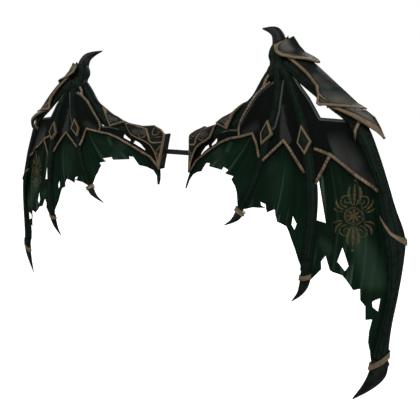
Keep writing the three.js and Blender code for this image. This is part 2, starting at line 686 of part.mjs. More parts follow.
function membraneSolid(bay, trim, edge, holes, cutters) {
  const half = MEMBRANE_WALL / 2;
  const top = raised(trim);
  const down = boneSide(bay.outer, top[top.length - 1], edge[0]);
  const up = boneSide(bay.inner, edge[edge.length - 1], top[0]);
  return panelSolid(bay, [-half, half], outlineOf([...top, ...down, ...edge, ...up]), holes, cutters);
}

function trimSolid(bay, lines, cutters) {
  const strips = lines.map((line) => prism(ribbon(line, TRIM_WIDTH)));
  const outline = strips.reduce((sum, strip) => sum.add(strip));
  return cutBy(baySolid(bay, TRIM_BACK, TRIM_FRONT).intersect(outline), cutters);
}

// Colours and finishes of the pieces
const finish = (color, roughness, metalness) => ({ color, roughness, metalness, side: THREE.FrontSide });
const FINISHES = {
  membrane: finish('#12291c', 0.85, 0),
  web: finish('#0c120f', 0.6, 0),
  bone: finish('#131c17', 0.5, 0),
  plate: finish('#2a332e', 0.4, 0.3),
  gold: finish('#6b5c48', 0.45, 0.9),
  claw: finish('#101512', 0.35, 0),
};

// All the solids of one wing, by name
function wingSolids() {
  const solids = {};
  const add = (name, kind, body) => {
    solids[name] = { kind, body };
  };
  const armCutter = armSolid(CLEARANCE);
  const boneCutters = Object.fromEntries(
    Object.entries(BONES).map(([name, bone]) => [name, bone(CLEARANCE)]));
  const rootCutter = rootPlateSolid(CLEARANCE);
  const collarCutter = collarSolid(CLEARANCE);

  add('arm', 'bone', largest(armSolid().subtract(rootWallSolid(CLEARANCE))));
  add('thumb_claw', 'claw', cutBy(thumbSolid(), [armCutter]));
  add('root_plate', 'plate', cutBy(rootPlateSolid(), [armCutter]));
  add('arm_plate', 'plate', cutBy(plateSolid(ARM_PLATE), [armCutter, rootCutter]));

  const rings = { inner: RING_INNER, middle: RING_MIDDLE, outer: RING_OUTER };
  for (const [name, ring] of Object.entries(rings)) {
    const others = Object.keys(BONES).filter((other) => other < name).map((other) => boneCutters[other]);
    const cutters = others.reduce((sum, cutter) => sum.add(cutter), armCutter);
    const [bone, claw] = boneAndClaw(BONES[name](0), ring, cutters);
    add(`finger_${name}`, 'bone', bone);
    add(`claw_${name}`, 'claw', claw);
  }
  add('ring_inner', 'gold', collarSolid());
  add('ring_middle', 'gold', bandSolid(BONES.middle, RING_MIDDLE, RING_LENGTH));
  add('ring_outer', 'gold', bandSolid(BONES.outer, RING_OUTER, RING_LENGTH));
  add('ring_blade', 'gold', bandSolid(BONES.outer, RING_BLADE, RING_LENGTH));
  add('strap_blade', 'gold', bandSolid(BONES.outer, STRAP_BLADE, STRAP_WIDTH));

  const shoulder = plateSolid(SHOULDER_PLATE);
  add('shoulder_plate', 'plate', cutBy(shoulder, [armCutter, boneCutters.outer]));
  const shoulderCutter = plateSolid(SHOULDER_PLATE, { grow: CLEARANCE });
  const longCutter = plateSolid(LONG_PLATE, { grow: CLEARANCE });
  const spikeCutter = plateSolid(SPIKE_PLATE, { grow: CLEARANCE });
  const blade = boneCutters.outer;
  add('long_plate', 'plate', cutBy(plateSolid(LONG_PLATE), [shoulderCutter, armCutter, blade]));
  add('spike_plate', 'plate', cutBy(plateSolid(SPIKE_PLATE), [longCutter, blade]));

  add('diamond_inner', 'gold', cutBy(diamondSolid(DIAMOND_INNER), [boneCutters.inner]));
  add('diamond_middle', 'gold', cutBy(diamondSolid(DIAMOND_MIDDLE), [boneCutters.middle]));

  const diamondCutters = [DIAMOND_INNER, DIAMOND_MIDDLE].map((corners) => diamondSolid(corners, CLEARANCE));
  const plateCutters = [rootCutter, plateSolid(ARM_PLATE, { grow: CLEARANCE })];
  const bandCutters = [
    bandCutter(BONES.middle, RING_MIDDLE, RING_LENGTH),
    bandCutter(BONES.outer, RING_OUTER, RING_LENGTH),
    bandCutter(BONES.outer, RING_BLADE, RING_LENGTH),
    bandCutter(BONES.outer, STRAP_BLADE, STRAP_WIDTH),
    collarCutter,
    ...diamondCutters,
  ];
  const innerCutters = [armCutter, boneCutters.inner, ...plateCutters, ...bandCutters];
  const middleCutters = [armCutter, boneCutters.inner, boneCutters.middle, ...bandCutters];
  const outerCutters = [
    armCutter, boneCutters.middle, boneCutters.outer, longCutter, spikeCutter, ...bandCutters];
  const { inner, middle, outer } = BAYS;

  add('web_inner', 'web', webSolid(inner, TRIM_INNER, WEB_INNER_TOP, WEB_INNER_WINDOWS, innerCutters));
  add('web_middle', 'web', webSolid(middle, TRIM_MIDDLE, WEB_MIDDLE_TOP, [], middleCutters));
  add('web_outer', 'web', webSolid(outer, TRIM_OUTER, WEB_OUTER_TOP, [], outerCutters));
  add('membrane_inner', 'membrane', membraneSolid(inner, TRIM_INNER, MEMBRANE_INNER_EDGE, [], innerCutters));
  add('membrane_middle', 'membrane', membraneSolid(
    middle, TRIM_MIDDLE, MEMBRANE_MIDDLE_EDGE, MEMBRANE_MIDDLE_HOLES, middleCutters));
  add('membrane_outer', 'membrane', membraneSolid(
    outer, TRIM_OUTER, MEMBRANE_OUTER_EDGE, MEMBRANE_OUTER_HOLES, outerCutters));
  add('trim_inner', 'gold', trimSolid(inner, [TRIM_INNER, TRIM_ARM, TRIM_ARM_FORK], innerCutters));
  add('trim_middle', 'gold', trimSolid(middle, [TRIM_MIDDLE], middleCutters));
  add('trim_outer', 'gold', trimSolid(outer, [TRIM_OUTER, TRIM_OUTER_STRAP], outerCutters));
  return solids;
}

// The room that a band round a bone needs
function bandCutter(bone, line, width) {
  return bone(2 * CLEARANCE + RING_WALL).intersect(prism(ribbon(line, width + 2 * CLEARANCE)));
}

// The bar between the two root walls, with ends cut to their slant
function barSolid() {
  const [above, below] = ROOT_PLATE.slice(-ROOT_EDGE_ROWS).slice(1, -1);
  const edgeAt = (z) => {
    const row = mixRows(above, below, (above.topUp - z / WING_HEIGHT) / (above.topUp - below.topUp));
    return place(row.topOut, row.topUp, row.topProud * STAND_OFF - PLATE_WALL);
  };
  const grid = (y) => [-1, 1].map((end) => {
    const z = end * BAR_HEIGHT / 2;
    const x = edgeAt(z).x - CLEARANCE;
    return [new THREE.Vector3(-x, y, z), new THREE.Vector3(x, y, z)];
  });
  return gridSolid(grid(-BAR_DEPTH), grid(0));
}

function meshOf(name, { kind, body }) {
  const { vertProperties, triVerts } = body.getMesh();
  const geometry = new THREE.BufferGeometry();
  geometry.setAttribute('position', new THREE.BufferAttribute(new Float32Array(vertProperties), 3));
  geometry.setIndex(new THREE.BufferAttribute(new Uint32Array(triVerts), 1));
  geometry.computeVertexNormals();
  const mesh = new THREE.Mesh(geometry, new THREE.MeshStandardMaterial(FINISHES[kind]));
  mesh.name = name;
  return mesh;
}

const wings = new THREE.Group();
const solids = wingSolids();
for (const [side, mirror] of [['right', 1], ['left', -1]]) {
  const wing = new THREE.Group();
  wing.scale.x = mirror;
  for (const [name, solid] of Object.entries(solids)) {
    wing.add(meshOf(`${side}_${name}`, solid));
  }
  wings.add(wing);
}
wings.add(meshOf('back_bar', { kind: 'bone', body: barSolid() }));

export default wings;
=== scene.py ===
import math

import bpy
import numpy as np
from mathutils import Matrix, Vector
from mathutils.geometry import delaunay_2d_cdt


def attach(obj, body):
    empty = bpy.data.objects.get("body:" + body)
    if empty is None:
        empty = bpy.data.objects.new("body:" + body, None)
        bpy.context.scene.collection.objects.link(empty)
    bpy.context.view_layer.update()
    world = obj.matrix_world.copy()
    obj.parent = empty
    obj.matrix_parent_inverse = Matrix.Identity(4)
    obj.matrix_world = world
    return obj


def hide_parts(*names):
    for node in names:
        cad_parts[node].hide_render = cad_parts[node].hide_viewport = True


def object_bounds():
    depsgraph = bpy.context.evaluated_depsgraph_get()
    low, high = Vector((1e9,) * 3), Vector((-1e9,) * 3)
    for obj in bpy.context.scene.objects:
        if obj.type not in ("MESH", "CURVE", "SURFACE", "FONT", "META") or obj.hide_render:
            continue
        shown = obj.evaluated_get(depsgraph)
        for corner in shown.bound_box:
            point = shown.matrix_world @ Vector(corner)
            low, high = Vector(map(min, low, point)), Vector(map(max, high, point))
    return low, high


bl_info = {
    "name": "Costume Dragon Wings",
    "version": (1, 0, 0),
    "blender": (4, 5, 0),
    "location": "View3D > Sidebar > Wings",
    "description": "Makes a pair of costume dragon wings over their packed frame",
    "category": "Object",
}

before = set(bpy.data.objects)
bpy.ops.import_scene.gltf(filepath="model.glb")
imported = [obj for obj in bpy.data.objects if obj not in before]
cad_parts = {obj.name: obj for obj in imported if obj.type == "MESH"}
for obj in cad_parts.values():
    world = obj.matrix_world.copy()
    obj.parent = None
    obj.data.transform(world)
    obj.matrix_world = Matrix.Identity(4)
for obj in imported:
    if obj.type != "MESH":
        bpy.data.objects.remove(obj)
CAD_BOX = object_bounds()

# Overall sizes of a wing, and the distance that its outward pieces take shares of
HALF_SPAN = .600
WING_HEIGHT = .760
SWEEP_DEPTH = .209
LEAN_DEPTH = .248
BOW_DEPTH = .023
ROOT_SETBACK = .031
STAND_OFF = .020
SWEEP_EASE_RATIO = .341
SWEEP_RISE_RATIO = .056
LEAN_FADE_RATIO = .898
SHARE_STEP = .01

# Sizes that the tables of widths, folds and crowns take shares of
BONE_SIZE = (.020, .015)
ARM_SIZE = (.044, .032)
BLADE_SIZE = (.036, .016)
BLADE_ANGLE = math.radians(-34)
COLLAR_SIZE = (.031, .021)
PLATE_CROWN = .012
PLATE_WALL = .003
SAG_DEPTH = .004
FOLD_HEIGHT = .009
LAP = .008
ROOT_WALL_DEPTH = .030
DIAMOND_HEIGHT = .011

# Layers behind the middle of the sheet
WEB_LAYER = .0023
TRIM_LAYER = .0039

# Fineness of the shapes: steps of curves and sections, and distances between points
SPAN_STEPS = 8
ROUND_STEPS = 40
BAND_STEPS = 64
EDGE_STEP = .0012
PANEL_STEP = .003
WINDOW_STEP = .002
MEDALLION_STEP = .0011
PLATE_STEP = .0009
NEWTON_STEP = 1e-4
NEWTON_ROUNDS = 14
BAND_ROUNDS = 25
BAND_LEAST_SLOPE = .3
BAND_LONGEST_MOVE = .004

# Finish of the edges, and what a sheet's cut has over for the laps
END_ROUNDING = .0025
ROLL_DEPTH = .0011
ROLL_WIDTH = .0016
TRIM_SINK = .0004


def rows(values):
    """A table of given numbers as an array."""
    return np.array(values, float)


# Centre lines: out as a share of the half span, up of the height, distance behind the sheet,
# width and depth. The outer finger also has its turn.
ARM = rows([
    (.512, .272, -.65, .76, .82), (.476, .236, -.65, .72, .8), (.44, .186, -.65, .82, .80),
    (.396, .149, -.55, 1.06, .74), (.335, .117, -.3, 1.02, .64), (.26, .092, -.15, .84, .56),
    (.18, .077, -.1, .74, .5), (.104, .04, 0, .56, .46),
])
KNUCKLE = rows([
    (.524, .236, -.1, .66, .82), (.521, .257, -.4, 1.10, 1.24), (.519, .276, -.6, 1.06, 1.20),
    (.514, .291, -.7, .90, 1.06), (.511, .307, -.75, 1.08, 1.18), (.509, .326, -.8, 1.00, 1.10),
    (.506, .34, -.85, .76, .86),
])
KNUCKLE_SPIKE = rows([
    (.532, .322, -.5, .36, .42), (.536, .34, -.65, .2, .24), (.539, .351, -.7, .04, .05),
])
THUMB_CLAW = rows([
    (.506, .326, -.8, .7, .8), (.502, .344, -.85, .68, .76), (.486, .366, -.9, .52, .58),
    (.458, .38, -1.0, .32, .38), (.411, .393, -1.1, .05, .06),
])
FINGER_INNER = rows([
    (.531, .252, .1, .9, 1.05), (.539, .21, .1, .9, 1.0), (.536, .155, .1, .86, .98),
    (.519, .098, .1, .9, 1.0), (.509, .04, .1, .88, .96), (.497, -.008, .1, .8, .86),
    (.475, -.064, .05, .66, .76), (.45, -.112, 0, .55, .68), (.432, -.143, 0, .56, .68),
    (.424, -.156, -.05, .98, .95), (.412, -.17, -.1, .84, .84), (.388, -.187, -.2, .44, .5),
    (.35, -.206, -.35, .08, .1),
])
FINGER_MIDDLE = rows([
    (.545, .262, .1, .95, 1.1), (.577, .226, .1, .78, .98), (.618, .163, .1, .8, .96),
    (.65, .1, .1, .92, .98), (.674, .034, .1, 1.02, 1.0), (.697, -.04, .1, 1.18, 1.0),
    (.709, -.11, .05, 1.08, .94), (.711, -.19, 0, .98, .88), (.712, -.282, -.15, .98, .92),
    (.713, -.306, -.3, 1.06, 1.0), (.709, -.328, -.45, .92, .88), (.697, -.355, -.65, .52, .56),
    (.672, -.386, -.9, .08, .1),
])
FINGER_OUTER = rows([
    (.545, .284, -.3, .84, 1.1, 1.0), (.588, .261, -.5, .88, 1.1, 1.0),
    (.636, .231, -.65, .88, 1.1, 1.0), (.686, .201, -.75, .88, 1.1, 1.0),
    (.733, .172, -.85, .86, 1.05, 1.0), (.783, .142, -.85, .82, 1.0, 1.0),
    (.823, .101, -.75, .76, 1.0, 1.0), (.861, .047, -.75, .66, .95, 1.0),
    (.901, -.018, -.65, .58, .92, 1.0), (.93, -.079, -.5, .74, .92, 1.0),
    (.96, -.146, -.35, 1.08, .95, 1.0), (.974, -.205, -.2, .84, .92, 1.0),
    (.982, -.29, 0, .56, .88, .9), (.981, -.37, .2, .5, .9, .6), (.98, -.437, .4, .64, .95, .3),
    (.981, -.491, .5, .84, 1.05, .1), (.976, -.524, .5, .76, .9, 0),
    (.954, -.566, .55, .44, .58, 0), (.92, -.611, .6, .06, .1, 0),
])
RING_INNER = rows([
    (.402, -.151), (.457, -.141),
])
RING_MIDDLE = rows([
    (.688, -.303), (.737, -.286),
])
RING_OUTER = rows([
    (.95, -.503), (1.03, -.424),
])
RING_BLADE = rows([
    (.912, -.098), (.945, -.13), (1.02, -.166),
])
STRAP_BLADE = rows([
    (.815, .134), (.805, .105), (.808, .081), (.829, .056),
])
ROOT_LINE = rows([
    (.5, .252, .05), (.441, .186, .25), (.396, .145, .25), (.335, .112, .1), (.26, .085, 0),
    (.18, .068, -.05), (.098, .036, 0), (.07, -.05, .15), (.066, -.14, .6),
])
TRIM_INNER = rows([
    (.091, -.066), (.138, -.019), (.215, .02), (.298, .057), (.341, .07), (.391, .077), (.453, .09),
    (.471, .066), (.492, .022),
])
TRIM_ARM = rows([
    (.391, .077), (.384, .096), (.388, .116), (.404, .139), (.426, .166), (.45, .195), (.48, .216),
    (.507, .229),
])
TRIM_ARM_FORK = rows([
    (.48, .216), (.487, .237), (.497, .25),
])
TRIM_MIDDLE = rows([
    (.51, .016), (.54, .041), (.581, .074), (.607, .053), (.668, -.006),
])
TRIM_OUTER = rows([
    (.709, -.03), (.728, .012), (.743, .045), (.808, .009), (.895, -.036),
])
TRIM_OUTER_STRAP = rows([
    (.69, .058), (.743, .045),
])
WEB_INNER_TOP = rows([
    (.509, .04), (.519, .098), (.536, .155), (.539, .21), (.525, .236), (.48, .216), (.45, .195),
    (.426, .166), (.404, .139), (.388, .116), (.372, .1), (.335, .1), (.26, .086), (.18, .068),
    (.105, .036), (.082, -.01),
])
WEB_MIDDLE_TOP = rows([
    (.684, 0), (.674, .034), (.65, .1), (.618, .163), (.577, .226), (.552, .25), (.549, .205),
    (.547, .15), (.538, .112), (.519, .098), (.509, .04),
])
WEB_OUTER_TOP = rows([
    (.9, -.02), (.858, .045), (.82, .1), (.79, .132), (.762, .131), (.697, .135), (.654, .184),
    (.612, .222), (.598, .238), (.585, .257), (.570, .277), (.552, .270), (.560, .245), (.577, .226),
    (.618, .163), (.65, .1), (.684, -.006),
])
MEMBRANE_INNER_EDGE = rows([
    (.44, -.143), (.418, -.138), (.411, -.117), (.404, -.096), (.389, -.073), (.372, -.055),
    (.381, -.044), (.34, -.038), (.357, -.026), (.322, -.021), (.313, -.032), (.234, -.029),
    (.236, -.017), (.214, -.019), (.199, -.035), (.185, -.051), (.15, -.059), (.12, -.072),
    (.101, -.092), (.089, -.126), (.079, -.127), (.079, -.108), (.084, -.086), (.09, -.066),
])
MEMBRANE_MIDDLE_EDGE = rows([
    (.712, -.282), (.692, -.28), (.692, -.267), (.678, -.246), (.664, -.223), (.649, -.199),
    (.635, -.175), (.625, -.162), (.591, -.152), (.578, -.118), (.566, -.123), (.543, -.135),
    (.537, -.122), (.483, -.127), (.455, -.136), (.44, -.139),
])
MEMBRANE_OUTER_EDGE = rows([
    (.985, -.486), (.957, -.482), (.95, -.458), (.94, -.435), (.937, -.405), (.94, -.37),
    (.921, -.374), (.914, -.336), (.896, -.319), (.89, -.288), (.871, -.299), (.849, -.28),
    (.831, -.266), (.791, -.257), (.771, -.221), (.759, -.239), (.763, -.262), (.734, -.298),
    (.712, -.296),
])
ROOT_PLATE = rows([
    (.262, .104, .4, .274, .114, .2, .1), (.25, .084, .4, .24, .108, .15, .7),
    (.236, .064, .4, .198, .101, -.05, 1.0), (.208, .051, .4, .14, .106, -.45, 1.1),
    (.176, .039, .45, .108, .086, .25, 1.0), (.148, .023, .5, .092, .066, .85, .8),
    (.128, -.002, .5, .094, .027, .75, .45), (.114, -.03, .5, .0965, -.02, .62, .2),
    (.106, -.06, .45, .099, -.07, .5, .05),
])
ARM_PLATE = rows([
    (.266, .112, .5, .27, .118, .45, .05), (.3, .103, .5, .298, .134, .3, .6),
    (.334, .095, .5, .334, .148, .1, .8), (.349, .122, .5, .36, .161, 0, .6),
    (.362, .147, .35, .382, .174, -.25, .4), (.386, .176, -.25, .392, .184, -.45, 0),
])
SHOULDER_PLATE = rows([
    (.512, .322, .5, .53, .338, -.5, .1), (.526, .3, .65, .56, .348, -.75, .5),
    (.548, .289, .65, .583, .323, -.95, .55), (.588, .282, .3, .604, .306, -1.1, .4),
    (.632, .278, -.15, .638, .291, -1.2, .2), (.655, .274, -1.05, .657, .279, -1.3, 0),
])
LONG_PLATE = rows([
    (.56, .288, .15, .594, .304, -.8, .45), (.6, .264, .1, .632, .282, -.95, .6),
    (.635, .241, .05, .664, .261, -1.05, .75), (.669, .212, .05, .702, .235, -1.1, .85),
    (.68, .19, .15, .745, .206, -1.15, .9), (.681, .168, .25, .795, .172, -1.15, .9),
    (.69, .163, .3, .824, .159, -1.15, .8),
])
SPIKE_PLATE = rows([
    (.712, .16, -.05, .724, .168, -.3, 0), (.745, .153, 0, .766, .168, -.9, .5),
    (.79, .137, 0, .82, .156, -1.3, .85), (.828, .12, -.15, .849, .139, -1.3, .7),
    (.86, .104, -.7, .867, .118, -1.35, .3), (.884, .088, -1.3, .886, .091, -1.4, 0),
])
DIAMOND_INNER = rows([
    (.52, .125, .12), (.496, .089, .05), (.504, .058, .12), (.542, .088, .05),
])
DIAMOND_MIDDLE = rows([
    (.644, .114, .12), (.636, .069, .05), (.667, .041, .12), (.682, .075, .05),
])
WEB_INNER_WINDOWS = [
    rows([(.266, .069), (.269, .058), (.256, .042), (.239, .034), (.235, .047), (.249, .056)]),
    rows([(.214, .044), (.221, .034), (.189, .018), (.156, -.006), (.168, .012), (.192, .034)]),
]
MEMBRANE_MIDDLE_HOLES = [
    rows([(.515, -.106), (.535, -.111), (.538, -.122), (.518, -.116)]),
    rows([(.644, -.13), (.66, -.15), (.655, -.168), (.643, -.155)]),
]
MEMBRANE_OUTER_HOLES = [
    rows([(.819, -.189), (.846, -.238), (.837, -.253), (.81, -.229)]),
    rows([(.952, -.306), (.931, -.322), (.935, -.337), (.952, -.343)]),
    rows([(.7, -.022), (.716, -.02), (.757, -.132), (.72, -.127)]),
]
# Broad sheens, painted into the colour as highlights: strength, fade in millimetres, and a brush
# stroke with half widths in millimetres. A panel's may be cut off on one side of a line.
PANEL_SHEENS = {
    "web_inner": (
        (.30, 14, ((.418, .089, 1), (.46, .108, 3)), None),),
    "web_middle": (
        (.55, 3, ((.563, .165, .6), (.575, .112, 6), (.588, .076, 11)), None),
        (.40, 5, ((.575, .240, 1), (.610, .185, 1)), None)),
    "web_outer": (
        (.80, 44, ((.746, .050, 1), (.795, .016, 1)), ((.746, .054), (.715, .098))),
        (.36, 28, ((.795, .016, 1), (.876, -.027, 1)), None)),
    "membrane_inner": (
        (.40, 8, ((.330, .030, 1), (.345, .055, 1)), None),
        (.28, 30, ((.28, .02, 2), (.30, -.02, 2)), None)),
    "membrane_middle": (
        (.35, 10, ((.716, -.20, 1), (.730, -.215, 2)), None),
        (.20, 26, ((.56, 0, 2), (.57, -.08, 2)), None)),
    "membrane_outer": (
        (.55, 26, ((.850, -.150, 1), (.889, -.195, 5), (.925, -.262, 6)), None),
        (.30, 14, ((.755, -.185, 1), (.775, -.200, 3)), None)),
}
# Broad sheens of the plates, painted into the colour as highlights: strength, fade in millimetres, and a
# stroke by row, share across and half width in millimetres
PLATE_SHEENS = {
    "root_plate": ((.5, 12, ((2.2, .30, 1), (3.0, .45, 2))),),
    "arm_plate": ((.5, 10, ((1.2, .6, 1), (2.4, .6, 2))),),
    "shoulder_plate": (
        (1.0, 13, ((.6, .62, 1), (1.3, .50, 3), (2.0, .55, 1))),
        (.7, 4, ((1.5, .16, 1), (2.8, .30, 1.4), (3.6, .36, .6)))),
    "long_plate": (
        (.95, 34, ((5.0, .30, 1), (5.5, .60, 3), (6.0, .90, 1))),
        (.35, 16, ((2.6, .40, 1), (3.6, .60, 1)))),
    "spike_plate": ((.9, 8, ((1.4, .62, 1), (2.8, .62, 3), (3.6, .6, 1))),),
}
INNER_FOLDS = rows([
    (.667, .11, 1.10, .30, .95), (.333, .12, .55, .45, 1.00), (.833, .08, -.45, .30, .90),
])
MIDDLE_FOLDS = rows([
    (.50, .10, 1.15, .38, .85), (.333, .08, -.40, .40, .90), (.833, .10, -.50, .40, .90),
    (0, .16, 1.00, .04, .27),
])
OUTER_FOLDS = rows([
    (.333, .09, .75, .30, .95), (.667, .09, .90, .25, .95), (.833, .08, -.60, .25, .95),
])
ROOT_EDGE_ROWS = 4
COLLAR_LENGTH = .010

# Ornament of the plates, in row, share across and half width in millimetres
ROOT_ORNAMENT = (
    ((1.4, .95, 3.0), (2.1, .82, 3.2), (2.7, .68, 3.4), (3.3, .50, 3.6), (3.9, .34, 3.6),
     (4.5, .20, 3.4), (5.0, .22, 3.2), (5.4, .50, 3.0), (5.8, .95, 2.8)),
    ((3.3, .88, 1.2), (3.7, .64, 1.9), (4.1, .52, 1.8), (4.4, .66, 1.7), (4.2, .84, 1.5),
     (3.95, .78, 1.2)),
    ((4.5, .46, 1.1), (4.8, .58, 1.8), (5.05, .80, 1.3)),
    ((2.6, .34, 1.2), (3.0, .16, 1.9), (3.4, .12, 1.8), (3.6, .26, 1.7), (3.35, .36, 1.4),
     (3.15, .28, 1.0)),
    ((1.9, .62, 1.0), (2.1, .44, 1.6), (2.5, .38, 1.5), (2.6, .54, 1.0)),
    ((5.9, .90, 1.4), (6.15, .35, 1.7), (6.45, .25, 1.6), (6.8, .70, 1.6), (7.1, .75, 1.4),
     (7.4, .35, 1.2), (7.7, .60, 1.0)),
    ((6.0, .20, 1.4), (6.3, .72, 1.6), (6.6, .80, 1.4), (6.95, .30, 1.4), (7.25, .28, 1.2),
     (7.5, .70, 1.0)),
)
ARM_ORNAMENT = (
    ((2.0, .20, 2.2), (1.75, .34, 1.7), (1.5, .30, 1.2)),
    ((2.0, .26, 2.1), (2.25, .42, 1.5), (2.15, .54, 1.1)),
)
SHOULDER_ORNAMENT = (
    ((0, .5, 6.0), (.5, .20, 5.0), (1.1, .08, 3.4)),
    ((0, .85, 4.0), (.45, .95, 2.0)),
)
LONG_ORNAMENT = (
    ((2.9, .06, 2.0), (3.3, .20, 2.0), (3.6, .10, 1.6)),
    ((3.9, .02, 2.2), (4.2, .16, 2.0), (4.5, .24, 1.8), (4.8, .36, 1.4)),
    ((6.0, .55, 2.4), (5.75, .62, 2.0), (5.5, .66, 1.4)),
    ((6.0, .80, 2.4), (5.7, .86, 2.0), (5.45, .93, 1.4)),
)
SPIKE_ORNAMENT = (
    ((0, .25, 3.0), (1, .14, 4.4), (2, .14, 5.4), (3, .22, 6.6), (4, .45, 6.6), (5, .5, 3.0)),
)
# Each plate with the half widths of its gold borders: lower, upper, first and last edge
PLATES = {
    "root_plate": (ROOT_PLATE, (5.2, 7.0, 3.2, 3.2), ROOT_ORNAMENT),
    "arm_plate": (ARM_PLATE, (6.5, 2.6, 2.0, 3.0), ARM_ORNAMENT),
    "shoulder_plate": (SHOULDER_PLATE, (7.4, 1.6, 9.0, 4.0), SHOULDER_ORNAMENT),
    "long_plate": (LONG_PLATE, (6.2, .8, 2.0, 6.0), LONG_ORNAMENT),
    "spike_plate": (SPIKE_PLATE, (6.0, 2.6, 2.0, 2.0), SPIKE_ORNAMENT),
}
# How far each plate's lower edge is turned in towards its bone
PLATE_SKIRTS = {
    "root_plate": .003, "arm_plate": .009, "shoulder_plate": .018, "long_plate": .016,
    "spike_plate": .008}
MEDALLION_PLACE = rows([.838, -.104])
MEDALLION_LEAN = math.radians(6)
# Leaves of a quarter of the medallion: start, bend, end and half width, in metres
MEDALLION_LEAVES = (
    ((.002, .019), (.016, .044), (.007, .058), .0021),
    ((.018, .012), (.034, .020), (.031, .034), .0017),
    ((.019, .009), (.030, .008), (.036, .016), .0013),
)

# Stage
CAMERA_PLACE = (.5245, -.7679, .1066)
WORLD_LIGHT = .26
FLOOR_GLOW = .80
LAMPS = (
    ("key", (-1.2, -2.6, 2.4), 42, 1.8),
    ("fill", (2.6, -1.6, .8), 20, 1.6),
    ("rim", (.4, 2.4, 1.6), 50, 1.8),
)


# Curves and surfaces

def mix(first, second, share):
    """The value at a share of the way from the first to the second."""
    return first + (second - first) * share


def ease(value, low, high):
    """Rises smoothly from 0 at low to 1 at high: 3 share squared less 2 share cubed."""
    share = np.clip((value - low) / (high - low), 0, 1)
    return share * share * (3 - 2 * share)


def unit(vectors):
    """Each vector over its own length."""
    return vectors / np.linalg.norm(vectors, axis=-1, keepdims=True)


def sheet_point(out, up):
    """A point of the curved sheet that a wing lies on: out and up are shares of the half span
    and the height, and the depth is the setback, less a sweep that eases out along the span,
    plus a lean that rises with the height and fades along the span, less a bow."""
    sweep = SWEEP_DEPTH * (1 - np.exp(-out / SWEEP_EASE_RATIO) - SWEEP_RISE_RATIO * out)
    lean = LEAN_DEPTH * up * (1 - LEAN_FADE_RATIO * out)
    depth = ROOT_SETBACK - sweep + lean - BOW_DEPTH * up * up
    return np.stack([out * HALF_SPAN, depth, up * WING_HEIGHT], axis=-1)


def sheet_normal(out, up):
    """Unit normal of the sheet towards the back: its step across, crossed with its step up."""
    across = sheet_point(out + SHARE_STEP, up) - sheet_point(out - SHARE_STEP, up)
    upward = sheet_point(out, up + SHARE_STEP) - sheet_point(out, up - SHARE_STEP)
    return unit(np.cross(across, upward))


def place(out, up, behind):
    """The point at a distance behind a place on the sheet, along the sheet's normal."""
    return sheet_point(out, up) + sheet_normal(out, up) * np.asarray(behind)[..., None]


def smooth(line, steps=SPAN_STEPS):
    """Catmull-Rom curve through a line's rows: each span is the cubic that passes its two ends
    along the chords between their neighbours."""
    line = np.asarray(line, float)
    padded = np.vstack([2 * line[0] - line[1], line, 2 * line[-1] - line[-2]])
    before, start, end, after = (padded[i:len(line) - 1 + i, None] for i in range(4))
    share = np.linspace(0, 1, steps, endpoint=False)[None, :, None]
    curve = start + share / 2 * (
        (end - before)
        + share * (2 * before - 5 * start + 4 * end - after)
        + share * share * (3 * start - before - 3 * end + after))
    return np.vstack([curve.reshape(-1, line.shape[1]), line[-1:]])


def lookup(line, keys, wanted):
    """Rows of a line at wanted keys, straight between its rows and on past its ends."""
    index = np.clip(np.searchsorted(keys, wanted) - 1, 0, len(keys) - 2)
    share = (wanted - keys[index]) / (keys[index + 1] - keys[index])
    return mix(line[index], line[index + 1], share[..., None])


def length_keys(line):
    """Share of a line's length at each of its rows, measured in its first two columns."""
    steps = np.hypot(np.diff(line[:, 0]), np.diff(line[:, 1]))
    return np.concatenate([[0], np.cumsum(steps)]) / steps.sum()


def flat(line):
    """The x and z of a line of places."""
    return line[:, :2] * [HALF_SPAN, WING_HEIGHT]


def evened(line, spacing, closed=False):
    """Points at about even steps along a flat line, with all its corners kept: each leg is
    shared into as many equal steps as it holds spacings."""
    line = np.vstack([line, line[:1]]) if closed else line
    legs = np.linalg.norm(np.diff(line, axis=0), axis=1)
    counts = np.maximum(1, np.round(legs / spacing)).astype(int)
    leg = np.repeat(np.arange(len(legs)), counts)
    first = np.repeat(np.cumsum(counts) - counts, counts)
    share = ((np.arange(counts.sum()) - first) / counts[leg])[:, None]
    made = mix(line[leg], line[leg + 1], share)
    return made if closed else np.vstack([made, line[-1:]])


def line_distance(points, line):
    """Distance from each point to the nearest place on a line of any number of columns."""
    nearest = np.full(len(points), np.inf)
    for start, end in zip(line[:-1], line[1:]):
        leg = end - start
        share = np.clip((points - start) @ leg / max(leg @ leg, 1e-12), 0, 1)
        nearest = np.minimum(nearest, np.linalg.norm(points - start - share[:, None] * leg, axis=1))
    return nearest


def stroke_field(points, strokes):
    """How far inside the nearest brush stroke each point lies, negative outside: the stroke's
    half width there, its last column, less the distance to its line."""
    field = np.full(len(points), -.05)
    for stroke in strokes:
        for start, end in zip(stroke[:-1], stroke[1:]):
            leg = end[:-1] - start[:-1]
            share = np.clip((points - start[:-1]) @ leg / max(leg @ leg, 1e-12), 0, 1)
            gap = np.linalg.norm(points - start[:-1] - share[:, None] * leg, axis=1)
            field = np.maximum(field, mix(start[-1], end[-1], share) - gap)
    return field


# Shapes: points, faces and what varies over the points

def shape(points, faces, **values):
    """A shape as plain arrays."""
    return {"points": points, "faces": faces, "values": values}


